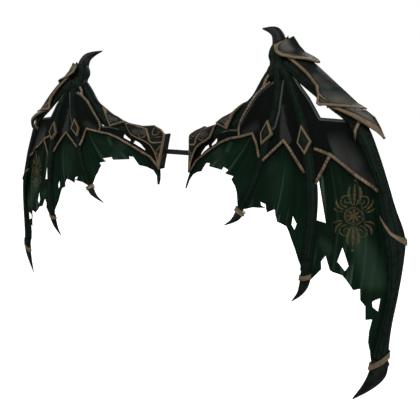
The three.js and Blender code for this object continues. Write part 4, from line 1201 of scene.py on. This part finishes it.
class Shader:
    """Builds one material around its Principled shader."""

    def __init__(self, name):
        self.material = bpy.data.materials.new(name)
        self.material.use_nodes = True
        self.tree = self.material.node_tree
        self.surface = self.tree.nodes["Principled BSDF"]

    def feed(self, socket, value):
        """Links a value to a socket, or sets the socket to it."""
        if isinstance(value, Amount):
            self.tree.links.new(value.socket, socket)
        elif isinstance(value, bpy.types.NodeSocket):
            self.tree.links.new(value, socket)
        else:
            socket.default_value = value

    def node(self, kind, settings=None, sockets=None):
        """A node of a type, with its settings made first and its sockets fed after."""
        made = self.tree.nodes.new(kind)
        for name, value in (settings or {}).items():
            setattr(made, name, value)
        for name, value in (sockets or {}).items():
            self.feed(made.inputs[name], value)
        return made

    def maths(self, operation, first, second):
        made = self.node("ShaderNodeMath", {"operation": operation}, {0: first, 1: second})
        return Amount(self, made.outputs[0])

    def value(self, name):
        """A varying number that the piece carries."""
        made = self.node("ShaderNodeAttribute", {"attribute_name": name})
        return Amount(self, made.outputs["Fac"])

    def place_on(self, scale, name="grain"):
        """The piece's own place along, across and round its surface, times a scale each way."""
        made = self.node("ShaderNodeAttribute", {"attribute_name": name})
        return self.scaled(made.outputs["Vector"], scale)

    def scaled(self, vector, scale):
        made = self.node("ShaderNodeVectorMath", {"operation": "MULTIPLY"}, {0: vector, 1: scale})
        return made.outputs[0]

    def space(self, scale=(1, 1, 1)):
        """Metres in the piece's own frame, times a scale each way."""
        return self.scaled(self.node("ShaderNodeTexCoord").outputs["Object"], scale)

    def noise(self, vector, scale, detail=3.0, rough=.55, bend=0.0):
        made = self.node("ShaderNodeTexNoise", None, {
            "Vector": vector, "Scale": scale, "Detail": detail, "Roughness": rough, "Distortion": bend})
        return Amount(self, made.outputs[0])

    def cells(self, vector, scale):
        made = self.node("ShaderNodeTexVoronoi", None, {"Vector": vector, "Scale": scale})
        return Amount(self, made.outputs["Distance"])

    def waves(self, vector, scale, direction, bend=0.0):
        made = self.node(
            "ShaderNodeTexWave", {"wave_type": "BANDS", "bands_direction": direction},
            {"Vector": vector, "Scale": scale, "Distortion": bend})
        return Amount(self, made.outputs["Fac"])

    def step(self, value, low, high, bottom=0.0, top=1.0):
        """Rises smoothly from bottom to top while the value goes from low to high."""
        made = self.node("ShaderNodeMapRange", {"interpolation_type": "SMOOTHSTEP"}, {
            "Value": value, "From Min": low, "From Max": high, "To Min": bottom, "To Max": top})
        return Amount(self, made.outputs[0])

    def blend(self, first, second, share):
        """A colour between two, by a share."""
        colours = [c if isinstance(c, bpy.types.NodeSocket) else (*c, 1) for c in (first, second)]
        made = self.node(
            "ShaderNodeMix", {"data_type": "RGBA"}, {0: share, 6: colours[0], 7: colours[1]})
        return made.outputs[2]

    def bump(self, height, distance, strength=1.0, before=None):
        made = self.node("ShaderNodeBump", None, {
            "Height": height, "Distance": distance, "Strength": strength})
        if before is not None:
            self.feed(made.inputs["Normal"], before)
        return made.outputs[0]

    def finish(self, **sockets):
        """Feeds the Principled shader and gives the material."""
        for name, value in sockets.items():
            self.feed(self.surface.inputs[name.replace("_", " ")], value)
        return self.material


def cloth_finish(colours, weave):
    """Dark green cloth: painted light and shade in streaks that run down the panel, painted highlights on
    the crests of the folds and in broad sheens, paler patches near the torn edges that are partly wear and
    partly painted highlight, a darker line along the torn edges, a band of painted shade under the trim, a
    painted medallion and a fine weave."""
    s = Shader("torn_membrane_cloth")
    streaks = s.noise(s.place_on((16, 1.6, 1)), 1.0, 4, .6)
    clouds = s.noise(s.place_on((4, 3, 1)), 1.0, 3, .5)
    torn = s.value("torn")
    crest = s.value("crest")
    patches = s.step(s.noise(s.place_on((13, 3.2, 1)), 1.0, 2, .4), .55, .72)
    # Painted light and shade: lit streaks of cloth over its shaded colour, down the panel
    lit = s.step(streaks * .35 + clouds * .65, .42, .66)
    colour = s.blend(colours.cloth, colours.cloth_lit, lit * .8)
    # Painted shade: the cloth darker in a band under the trim
    shade = s.step(s.value("under"), .002, .030)
    colour = s.blend(colours.cloth_dark, colour, shade * .55 + .45)
    # Painted highlights: the broad sheens, in the paler cloth colour
    glow = s.value("sheen") * s.step(clouds, .20, .60, .6, 1)
    colour = s.blend(colour, colours.cloth_wear_and_sheen, glow * .7)
    # Painted highlight along the crests of the folds
    colour = s.blend(colour, colours.cloth_crest_highlight, crest ** 3 * .8)
    # Paler patches near the torn edges: partly wear, partly painted highlight
    wear_and_highlight = s.step(torn, .034, .004) * patches
    colour = s.blend(colour, colours.cloth_wear_and_sheen, wear_and_highlight * .8)
    colour = s.blend(colour, colours.cloth_dark, s.step(torn, .0016, .0004) * .8)
    grain = s.noise(s.space((900, 900, 900)), 1.0, 2, .5)
    rubbed = s.noise(s.space((260, 260, 260)), 1.0, 4, .65)
    paint = s.step(s.value("paint"), -.00015, .00025) * s.step(rubbed, .34, .46)
    gold = s.blend(colours.paint_dark, colours.paint, s.step(rubbed + grain * .4, .5, .9))
    colour = s.blend(colour, gold, paint * .88)
    threads = s.waves(s.space(), weave, "X") + s.waves(s.space(), weave, "Z")
    rough = .82 - paint * .27
    relief = s.bump(threads * .5 + grain * .4, .00035, .5)
    relief = s.bump(s.noise(s.place_on((9, 4, 1)), 1.0, 3, .5), .004, .22, relief)
    relief = s.bump(paint, .0004, .5, relief)
    return s.finish(
        Base_Color=colour, Roughness=rough, Normal=relief, Specular_IOR_Level=.06)


def leather_finish(colours):
    """Near-black leather: a fine pebbled grain, a few broad grey painted highlights (sheens), faint painted
    highlight lines that run down from the knuckle, and a pressed rim along its free edges with a painted
    highlight."""
    s = Shader("web_leather")
    clouds = s.noise(s.place_on((6, 3, 1)), 1.0, 3, .5)
    # Painted highlights: the broad sheens, and faint pale lines down the panel
    sheen = s.value("sheen") * s.step(clouds, .10, .50, .6, 1)
    lines = s.step(s.noise(s.place_on((34, 1.2, 1)), 1.0, 2, .5), .58, .78)
    # A pale line along the free edges: the pressed rim, with a painted highlight
    rim = s.step(s.value("rim"), .0062, .0050) * s.step(s.value("rim"), .0008, .0016)
    colour = s.blend(colours.leather, colours.leather_sheen, sheen * .9 + lines * .12)
    colour = s.blend(colour, colours.leather_rim_highlight, rim * .75)
    pebbles = s.cells(s.space(), 620)
    wrinkles = s.noise(s.place_on((30, 6, 1)), 1.0, 4, .6)
    relief = s.bump(pebbles, .0003, .45)
    relief = s.bump(wrinkles, .0022, .45, relief)
    relief = s.bump(rim, .0008, .7, relief)
    rough = s.step(pebbles * .3 + sheen * .5, 0, 1, .62, .40)
    return s.finish(Base_Color=colour, Roughness=rough, Normal=relief, Specular_IOR_Level=.08)


def bone_finish(colours):
    """Moulded bone, green-black: grey streaks along it as painted highlights, grooves and ribs darkened with
    painted shade, and a dry mottled skin.
    """
    s = Shader("moulded_bone")
    streaks = s.step(s.noise(s.place_on((2.2, 2.2, 7)), 1.0, 3, .5), .56, .76)
    grooves = s.noise(s.place_on((6, 6, 8)), 1.0, 4, .6)
    mottle = s.noise(s.space((90, 90, 90)), 1.0, 4, .6)
    colour = s.blend(colours.bone, colours.bone_green, s.step(mottle, .34, .56))
    ribs = s.step(s.waves(s.place_on((1, 0, .6)), .46, "X", 1.4), .22, .04)
    # Painted shade: the bone darkened in its grooves and along its ribs
    colour = s.blend(colour, colours.bone_groove_shade, s.step(grooves, .46, .36) * .6)
    colour = s.blend(colour, colours.bone_groove_shade, ribs * .75)
    # Painted highlights: grey sheen streaks along the bone
    colour = s.blend(colour, colours.bone_sheen, streaks * .5)
    relief = s.bump(grooves - ribs * .4, .0022, .7)
    relief = s.bump(s.noise(s.space((700, 700, 700)), 1.0, 3, .6), .0003, .5, relief)
    rough = s.step(grooves + streaks * .4, .3, 1.1, .60, .40)
    return s.finish(Base_Color=colour, Roughness=rough, Normal=relief, Specular_IOR_Level=.10)


def claw_finish(colours):
    """Polished claw: near black with long grey growth lines and a painted highlight down one side."""
    s = Shader("polished_claw")
    growth = s.noise(s.place_on((5, 5, 30)), 1.0, 4, .6)
    side = s.step(s.noise(s.place_on((1.3, 1.3, 14)), 1.0, 2, .4), .56, .74)
    mottle = s.noise(s.space((70, 70, 70)), 1.0, 3, .5)
    colour = s.blend(colours.claw, colours.bone_green, s.step(mottle, .40, .62) * .7)
    # Painted highlight: the paler side of the claw; the growth lines take the same pale colour
    colour = s.blend(
        colour, colours.claw_sheen, side * .5 + s.step(growth, .58, .8) * .14)
    relief = s.bump(growth, .0009, .5)
    return s.finish(
        Base_Color=colour, Roughness=s.step(growth, .3, .8, .30, .48), Normal=relief,
        Specular_IOR_Level=.18)


def gold_colour(s, colours, height):
    """Aged gold: brown in its hollows, partly patina and partly painted shade, rubbed bright on its heights
    with painted highlights, and with dull spots.
    """
    spots = s.noise(s.space((420, 420, 420)), 1.0, 5, .65)
    clouds = s.noise(s.space((85, 85, 85)), 1.0, 3, .6)
    # Darker at the relief's low edges and paler on its heights: partly patina and rubbing, partly painted
    # shade and painted highlight
    wear_and_highlight = s.step(height * .55 + spots * .4 + clouds * .7, .62, 1.12)
    colour = s.blend(colours.gold_patina_and_shade, colours.gold, wear_and_highlight)
    return s.blend(colour, colours.gold_rubbed_and_highlight, s.step(wear_and_highlight * spots, .50, .72) * .5), spots


def gold_finish(colours):
    """Cast and aged gold of the trims and rings, with painted shade and highlight on its relief."""
    s = Shader("aged_gold")
    colour, spots = gold_colour(s, colours, s.value("rise"))
    relief = s.bump(spots, .0004, .5)
    return s.finish(
        Base_Color=colour, Metallic=.45, Roughness=s.step(spots, .3, .8, .42, .62), Normal=relief)


def armour_finish(colours):
    """Painted plates with gold ornament: dark green brushed enamel with broad grey painted highlights,
    painted shade on the enamel beside the raised gold, and aged gold wherever the piece is raised."""
    s = Shader("armour_plate")
    gold = s.step(s.value("gold"), -.0001, .0003)
    metal, spots = gold_colour(s, colours, s.step(s.value("gold"), 0, .0016))
    brushed = s.noise(s.place_on((1.2, 26, 1)), 1.0, 4, .6)
    clouds = s.noise(s.space((26, 26, 26)), 1.0, 3, .5)
    # Painted highlights: the plate's broad sheens; faint brushed lines take the same pale colour
    sheen = s.value("sheen") * s.step(clouds, .25, .60, .55, 1)
    enamel = s.blend(colours.plate, colours.plate_green, s.step(clouds, .40, .62))
    enamel = s.blend(enamel, colours.plate_sheen, sheen * .85 + s.step(brushed, .55, .8) * .08)
    # Painted shade: the enamel darkened just beside the raised gold
    relief_shade_mask = s.step(s.value("gold"), -.0022, -.0002)
    enamel = s.blend(enamel, colours.plate_relief_shade, relief_shade_mask * .6)
    colour = s.blend(enamel, metal, gold)
    relief = s.bump(brushed, .0005, .35)
    relief = s.bump(spots, .0004, .45, relief)
    rough = .46 + gold * .08 + brushed * .06
    return s.finish(
        Base_Color=colour, Metallic=gold * .30, Roughness=rough, Normal=relief, Specular_IOR_Level=.12)


def webbing_finish(colours):
    """Dark woven webbing of the bar between the roots."""
    s = Shader("bar_webbing")
    warp = s.waves(s.space(), 260, "X")
    weft = s.waves(s.space(), 120, "Z")
    speckle = s.noise(s.space((500, 500, 500)), 1.0, 3, .6)
    colour = s.blend(colours.leather, colours.bone_sheen, warp * weft * .35 + speckle * .1)
    relief = s.bump(warp * .6 + weft * .4, .0005, .6)
    return s.finish(Base_Color=colour, Roughness=s.step(speckle, .2, .8, .6, .8), Normal=relief)


def floor_finish(colours):
    """Plain pale floor with a trace of unevenness."""
    s = Shader("pale_floor")
    clouds = s.noise(s.space((.8, .8, .8)), 1.0, 3, .5)
    colour = s.blend(colours.floor, [part * .985 for part in colours.floor], clouds)
    return s.finish(
        Base_Color=colour, Roughness=.9, Specular_IOR_Level=0, Emission_Color=(1, 1, 1, 1),
        Emission_Strength=FLOOR_GLOW)


# Settings

def colour_setting(name, description, default):
    """A colour that a user may change."""
    return bpy.props.FloatVectorProperty(
        name=name, description=description, subtype="COLOR", default=default, min=0, max=1)


def length_setting(name, description, default):
    """A length that a user may change."""
    return bpy.props.FloatProperty(
        name=name, description=description, default=default, min=0, unit="LENGTH", precision=4)


class WingColours(bpy.types.PropertyGroup):
    """Colours of the finishes."""

    cloth: colour_setting("Cloth", "Membrane cloth in shade", tone(14, 31, 20))
    # Painted light: the lit copy of the cloth, in its paler streaks
    cloth_lit: colour_setting("Lit cloth", "Membrane cloth in its paler streaks", tone(22, 50, 33))
    # Painted shade under the trims; also the darker line along the torn edges
    cloth_dark: colour_setting("Dark cloth", "Membrane cloth under the trims", tone(7, 16, 11))
    # Painted highlight on the crests of the folds
    cloth_crest_highlight: colour_setting("Creases", "Crests of the membrane's folds", tone(58, 88, 70))
    # Paler cloth: of the painted highlights, and of the patches near the torn edges, partly wear and partly
    # painted highlight
    cloth_wear_and_sheen: colour_setting("Worn cloth", "Paler cloth near the torn edges", tone(72, 98, 78))
    paint: colour_setting("Paint", "Painted medallion", tone(116, 98, 68))
    paint_dark: colour_setting("Dark paint", "Painted medallion where it is thin", tone(76, 64, 44))
    leather: colour_setting("Leather", "Webs between the bones", tone(6, 12, 8))
    # Painted highlight colour of the webs' sheens and faint lines
    leather_sheen: colour_setting("Leather sheen", "Paler streaks of the webs", tone(74, 76, 74))
    # Painted highlight on the pressed rim of the webs
    leather_rim_highlight: colour_setting("Leather rim", "Pressed rim of the webs", tone(88, 94, 90))
    bone: colour_setting("Bone", "Moulded bones", tone(14, 20, 16))
    bone_green: colour_setting("Green bone", "Greener parts of the bones", tone(20, 40, 29))
    # Painted shade in the grooves and ribs of the bones
    bone_groove_shade: colour_setting("Dark bone", "Grooves of the bones", tone(8, 11, 9))
    # Painted highlight colour of the bones' streaks; the bar's webbing also takes it for its paler threads
    bone_sheen: colour_setting("Bone sheen", "Paler streaks of the bones", tone(62, 72, 66))
    claw: colour_setting("Claw", "Claws", tone(10, 12, 11))
    # Painted highlight colour of the claws' paler sides; also their growth lines
    claw_sheen: colour_setting("Claw sheen", "Paler sides of the claws", tone(72, 68, 68))
    plate: colour_setting("Plate", "Enamel of the plates", tone(22, 28, 24))
    plate_green: colour_setting("Green plate", "Greener enamel of the plates", tone(18, 38, 27))
    # Painted shade on the enamel beside the raised gold
    plate_relief_shade: colour_setting("Dark plate", "Enamel beside the gold", tone(8, 12, 10))
    # Painted highlight colour of the plates' broad sheens; also their faint brushed lines
    plate_sheen: colour_setting("Plate sheen", "Brushed sheen of the plates", tone(116, 115, 110))
    gold: colour_setting("Gold", "Aged gold", tone(138, 119, 94))
    # Hollows of the gold: patina, and painted shade of the relief
    gold_patina_and_shade: colour_setting("Dark gold", "Hollows of the gold", tone(56, 46, 35))
    # Heights of the gold: rubbed, and painted highlight of the relief
    gold_rubbed_and_highlight: colour_setting("Bright gold", "Rubbed heights of the gold", tone(182, 160, 126))
    floor: colour_setting("Floor", "Floor of the stage", (.90, .90, .90))


class WingSizes(bpy.types.PropertyGroup):
    """Sizes of the pieces' details."""

    cloth_wall: length_setting("Cloth", "Thickness of the membrane cloth", .0010)
    web_wall: length_setting("Web", "Thickness of the webs", .0016)
    cloth_net: length_setting("Cloth net", "Step between the membranes' points", .0042)
    raggedness: length_setting("Raggedness", "Height of the torn edges' small waves", .0005)
    trim_width: length_setting("Trim width", "Width of the gold trims", .0068)
    trim_height: length_setting("Trim height", "Height of the gold trims", .0030)
    ridge: length_setting("Ridge", "Step between the trims' cross ridges", .0075)
    relief: length_setting("Relief", "Height of the plates' gold ornament", .0012)
    bead: length_setting("Bead", "Further height of the plates' gold borders", .0012)
    ring_width: length_setting("Ring width", "Width of the rings and the strap", .0100)
    ring_wall: length_setting("Ring wall", "Height of the rings over the bones", .0029)
    weave: bpy.props.FloatProperty(
        name="Weave", description="Scale of the weave; 260 puts threads 1.2 mm apart", default=260, min=1)


class WingStage(bpy.types.PropertyGroup):
    """The stage round the wings."""

    floor_gap: length_setting("Floor gap", "Distance of the floor below the lowest claw", .035)
    floor_size: length_setting("Floor size", "Side of the floor", 60)
    azimuth: bpy.props.FloatProperty(
        name="Azimuth", description="Camera's turn from straight behind", subtype="ANGLE",
        default=math.radians(28.847))
    elevation: bpy.props.FloatProperty(
        name="Elevation", description="Camera's angle above level", subtype="ANGLE",
        default=math.radians(17.48))
    lens: bpy.props.FloatProperty(
        name="Lens", description="Camera's focal length in millimetres", default=25.714, min=1)


# Makers

class WINGS_OT_membranes(bpy.types.Operator):
    """Makes the three torn membranes of each wing"""

    bl_idname = "wings.membranes"
    bl_label = "Membranes"

    def execute(self, context):
        sizes, colours = context.scene.wing_sizes, context.scene.wing_colours
        finish = cloth_finish(colours, sizes.weave)
        for bay in MEMBRANES:
            made = membrane_shape(bay, sizes.cloth_net, sizes.raggedness)
            pair = make_pair(
                f"cloth_{bay}", made, finish, [f"membrane_{bay}"], sizes.cloth_wall)
            declare_sheets(made)
        return {"FINISHED"}


def declare_sheets(made):
    """Works out a panel's area, the sum of its triangles, and its spread along its two main ways;
    it declares nothing and gives nothing back."""
    points = made["points"]
    corners = np.array(made["faces"])
    first, second, third = (points[corners[:, i]] for i in range(3))
    area = np.linalg.norm(np.cross(second - first, third - first), axis=1).sum() / 2
    _, ways = np.linalg.eigh(np.cov((points - points.mean(axis=0)).T))
    spread = np.ptp(points @ ways, axis=0)


class WINGS_OT_webs(bpy.types.Operator):
    """Makes the dark webs between the upper parts of the bones"""

    bl_idname = "wings.webs"
    bl_label = "Webs"

    def execute(self, context):
        sizes, colours = context.scene.wing_sizes, context.scene.wing_colours
        finish = leather_finish(colours)
        for bay in WEBS:
            made = web_shape(bay, sizes.cloth_net)
            pair = make_pair(f"leather_{bay}", made, finish, [f"web_{bay}"], sizes.web_wall)
            declare_sheets(made)
        return {"FINISHED"}


class WINGS_OT_trims(bpy.types.Operator):
    """Makes the gold trims along the lower edges of the webs"""

    bl_idname = "wings.trims"
    bl_label = "Trims"

    def execute(self, context):
        sizes, colours = context.scene.wing_sizes, context.scene.wing_colours
        finish = gold_finish(colours)
        lines = {
            "inner": (TRIM_INNER, TRIM_ARM, TRIM_ARM_FORK),
            "middle": (TRIM_MIDDLE,),
            "outer": (TRIM_OUTER, TRIM_OUTER_STRAP)}
        for bay, paths in lines.items():
            made = trim_shape(bay, paths, sizes.trim_width, sizes.trim_height, sizes.ridge)
            make_pair(f"gilding_{bay}", made, finish, [f"trim_{bay}"])
        return {"FINISHED"}


class WINGS_OT_arms(bpy.types.Operator):
    """Makes the arms with their knuckles"""

    bl_idname = "wings.arms"
    bl_label = "Arms"

    def execute(self, context):
        finish = bone_finish(context.scene.wing_colours)
        parts = []
        for line in (ARM, KNUCKLE, KNUCKLE_SPIKE):
            table = bone_table(line, ARM_SIZE)
            parts.append(bone_shape(table, 0, bone_keys(table)[-1]))
        make_pair("arm_bone", joined(parts), finish, ["arm"])
        return {"FINISHED"}


FINGERS = {
    "inner": (FINGER_INNER, BONE_SIZE, 0.0, RING_INNER),
    "middle": (FINGER_MIDDLE, BONE_SIZE, 0.0, RING_MIDDLE),
    "outer": (FINGER_OUTER, BLADE_SIZE, BLADE_ANGLE, RING_OUTER),
}


def finger_table(name):
    """A finger's table of sections."""
    line, size, turn, _ = FINGERS[name]
    return bone_table(line, size, turn)


class WINGS_OT_fingers(bpy.types.Operator):
    """Makes the finger bones, as far as their rings"""

    bl_idname = "wings.fingers"
    bl_label = "Finger bones"

    def execute(self, context):
        finish = bone_finish(context.scene.wing_colours)
        for name, (_, _, _, ring) in FINGERS.items():
            table = finger_table(name)
            made = bone_shape(table, 0, ring_length(table, flat(ring)))
            make_pair(f"bone_{name}", made, finish, [f"finger_{name}"])
        return {"FINISHED"}


def claw_shape(table, start):
    """A claw from a length along its bone to its tip, with a thicker base and long grooves."""
    def swell(lengths, angles):
        base = .20 * np.exp(-((lengths - start) / .006) ** 2)
        return base + .018 * np.cos(7 * angles)

    return bone_shape(table, start, bone_keys(table)[-1], swell, .0015)


class WINGS_OT_claws(bpy.types.Operator):
    """Makes the claws at the ends of the fingers and the knuckle"""

    bl_idname = "wings.claws"
    bl_label = "Claws"

    def execute(self, context):
        finish = claw_finish(context.scene.wing_colours)
        for name, (_, _, _, ring) in FINGERS.items():
            table = finger_table(name)
            made = claw_shape(table, ring_length(table, flat(ring)) + .0004)
            make_pair(f"talon_{name}", made, finish, [f"claw_{name}"])
        thumb = claw_shape(bone_table(THUMB_CLAW, ARM_SIZE), 0)
        make_pair("talon_thumb", thumb, finish, ["thumb_claw"])
        return {"FINISHED"}


class WINGS_OT_rings(bpy.types.Operator):
    """Makes the gold rings, the collar and the strap round the fingers"""

    bl_idname = "wings.rings"
    bl_label = "Rings"

    def execute(self, context):
        sizes, colours = context.scene.wing_sizes, context.scene.wing_colours
        finish = gold_finish(colours)
        bands = {
            "ring_middle": ("middle", RING_MIDDLE, 0), "ring_outer": ("outer", RING_OUTER, .2),
            "ring_blade": ("outer", RING_BLADE, .7), "strap_blade": ("outer", STRAP_BLADE, .6)}
        for name, (finger, line, pinch) in bands.items():
            made = band_shape(
                finger_table(finger), flat(line), sizes.ring_width, sizes.ring_wall, pinch)
            make_pair(f"gilt_{name}", made, finish, [name])
        make_pair("gilt_ring_inner", collar_shape(), finish, ["ring_inner"])
        return {"FINISHED"}


class WINGS_OT_plates(bpy.types.Operator):
    """Makes the ornamented plates of the root, the arm and the shoulder"""

    bl_idname = "wings.plates"
    bl_label = "Plates"

    def execute(self, context):
        sizes, colours = context.scene.wing_sizes, context.scene.wing_colours
        finish = armour_finish(colours)
        for name, (table, borders, strokes) in PLATES.items():
            made = plate_shape(
                table, borders, strokes, PLATE_SHEENS[name], PLATE_SKIRTS[name], sizes.relief,
                sizes.bead)
            if name == "root_plate":
                made = joined([made, root_wall_shape(sizes.relief)])
            make_pair(f"armour_{name}", made, finish, [name], PLATE_WALL, -1.0)
        return {"FINISHED"}


class WINGS_OT_diamonds(bpy.types.Operator):
    """Makes the two diamond bosses of each wing"""

    bl_idname = "wings.diamonds"
    bl_label = "Diamonds"

    def execute(self, context):
        finish = armour_finish(context.scene.wing_colours)
        for name, corners in (("inner", DIAMOND_INNER), ("middle", DIAMOND_MIDDLE)):
            make_pair(f"boss_{name}", diamond_shape(corners), finish, [f"diamond_{name}"])
        return {"FINISHED"}


class WINGS_OT_bar(bpy.types.Operator):
    """Gives the bar between the roots its webbing"""

    bl_idname = "wings.bar"
    bl_label = "Bar"

    def execute(self, context):
        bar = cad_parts["back_bar"]
        finish = webbing_finish(context.scene.wing_colours)
        if not bar.material_slots:
            bar.data.materials.append(finish)
        for slot in bar.material_slots:
            slot.material = finish
        return {"FINISHED"}


class WINGS_OT_stage(bpy.types.Operator):
    """Sets the floor, the lights and the camera"""

    bl_idname = "wings.stage"
    bl_label = "Stage"

    def execute(self, context):
        stage, colours = context.scene.wing_stage, context.scene.wing_colours
        make_floor(stage, colours)
        make_lights()
        make_camera(stage)
        return {"FINISHED"}


def make_floor(stage, colours):
    """A flat square under the lowest claw, as a grid of points at one height. It doesn't
    light the wings from below."""
    level = CAD_BOX[0][2] - stage.floor_gap
    reach = np.linspace(-stage.floor_size / 2, stage.floor_size / 2, 9)
    across, along = np.meshgrid(reach, reach, indexing="ij")
    made = grid_shape(np.stack([across, along, np.full_like(across, level)], axis=-1))
    made = facing(made, (0, 0, 1))
    mesh = bpy.data.meshes.new("floor")
    mesh.from_pydata(made["points"].tolist(), [], made["faces"])
    mesh.materials.append(floor_finish(colours))
    floor = bpy.data.objects.new("floor", mesh)
    bpy.context.scene.collection.objects.link(floor)
    floor.visible_diffuse = False
    floor.visible_glossy = False


def make_lights():
    """White surroundings, dimmer as a light than to the camera, and three large soft lamps."""
    world = bpy.data.worlds.new("studio")
    world.use_nodes = True
    tree = world.node_tree
    back = tree.nodes["Background"]
    seen = tree.nodes.new("ShaderNodeBackground")
    seen.inputs["Strength"].default_value = 1.0
    seen.inputs["Color"].default_value = (1, 1, 1, 1)
    back.inputs["Color"].default_value = (1, 1, 1, 1)
    back.inputs["Strength"].default_value = WORLD_LIGHT
    path = tree.nodes.new("ShaderNodeLightPath")
    join = tree.nodes.new("ShaderNodeMixShader")
    tree.links.new(path.outputs["Is Camera Ray"], join.inputs[0])
    tree.links.new(back.outputs[0], join.inputs[1])
    tree.links.new(seen.outputs[0], join.inputs[2])
    tree.links.new(join.outputs[0], tree.nodes["World Output"].inputs["Surface"])
    bpy.context.scene.world = world
    bpy.context.scene.view_settings.view_transform = "Standard"
    for name, place_at, power, size in LAMPS:
        light = bpy.data.lights.new(name, "AREA")
        light.shape = "DISK"
        light.size = size
        light.energy = power
        lamp = bpy.data.objects.new(name, light)
        lamp.location = place_at
        lamp.rotation_euler = (-Vector(place_at)).to_track_quat("-Z", "Y").to_euler()
        bpy.context.scene.collection.objects.link(lamp)


def make_camera(stage):
    """The camera at the photograph's place and angle."""
    turn, rise = stage.azimuth, stage.elevation
    back = Vector((math.sin(turn) * math.cos(rise), -math.cos(turn) * math.cos(rise), math.sin(rise)))
    data = bpy.data.cameras.new("camera")
    data.lens = stage.lens
    data.sensor_width = 36
    data.clip_start = .01
    camera = bpy.data.objects.new("camera", data)
    camera.location = CAMERA_PLACE
    camera.rotation_euler = (-back).to_track_quat("-Z", "Y").to_euler()
    bpy.context.scene.collection.objects.link(camera)
    bpy.context.scene.camera = camera


class WINGS_PT_panel(bpy.types.Panel):
    """Lists the settings and the makers"""

    bl_idname = "WINGS_PT_panel"
    bl_label = "Wings"
    bl_space_type = "VIEW_3D"
    bl_region_type = "UI"
    bl_category = "Wings"

    def draw(self, context):
        for group in (context.scene.wing_sizes, context.scene.wing_colours, context.scene.wing_stage):
            box = self.layout.box()
            for name in group.bl_rna.properties.keys():
                if name not in ("rna_type", "name"):
                    box.prop(group, name)
        for maker in MAKERS:
            self.layout.operator(maker.bl_idname)


MAKERS = (
    WINGS_OT_stage, WINGS_OT_membranes, WINGS_OT_webs, WINGS_OT_trims, WINGS_OT_arms,
    WINGS_OT_fingers, WINGS_OT_claws, WINGS_OT_rings, WINGS_OT_plates, WINGS_OT_diamonds,
    WINGS_OT_bar)
GROUPS = {"wing_sizes": WingSizes, "wing_colours": WingColours, "wing_stage": WingStage}


def register():
    """Registers the settings, the makers and the panel."""
    for name, group in GROUPS.items():
        bpy.utils.register_class(group)
        setattr(bpy.types.Scene, name, bpy.props.PointerProperty(type=group))
    for each in (*MAKERS, WINGS_PT_panel):
        bpy.utils.register_class(each)


def unregister():
    """Takes them out again."""
    for each in (WINGS_PT_panel, *reversed(MAKERS)):
        bpy.utils.unregister_class(each)
    for name, group in reversed(GROUPS.items()):
        delattr(bpy.types.Scene, name)
        bpy.utils.unregister_class(group)


def main():
    """Makes everything in order."""
    register()
    for maker in MAKERS:
        group, name = maker.bl_idname.split(".")
        getattr(getattr(bpy.ops, group), name)()


if __name__ == "__main__":
    main()
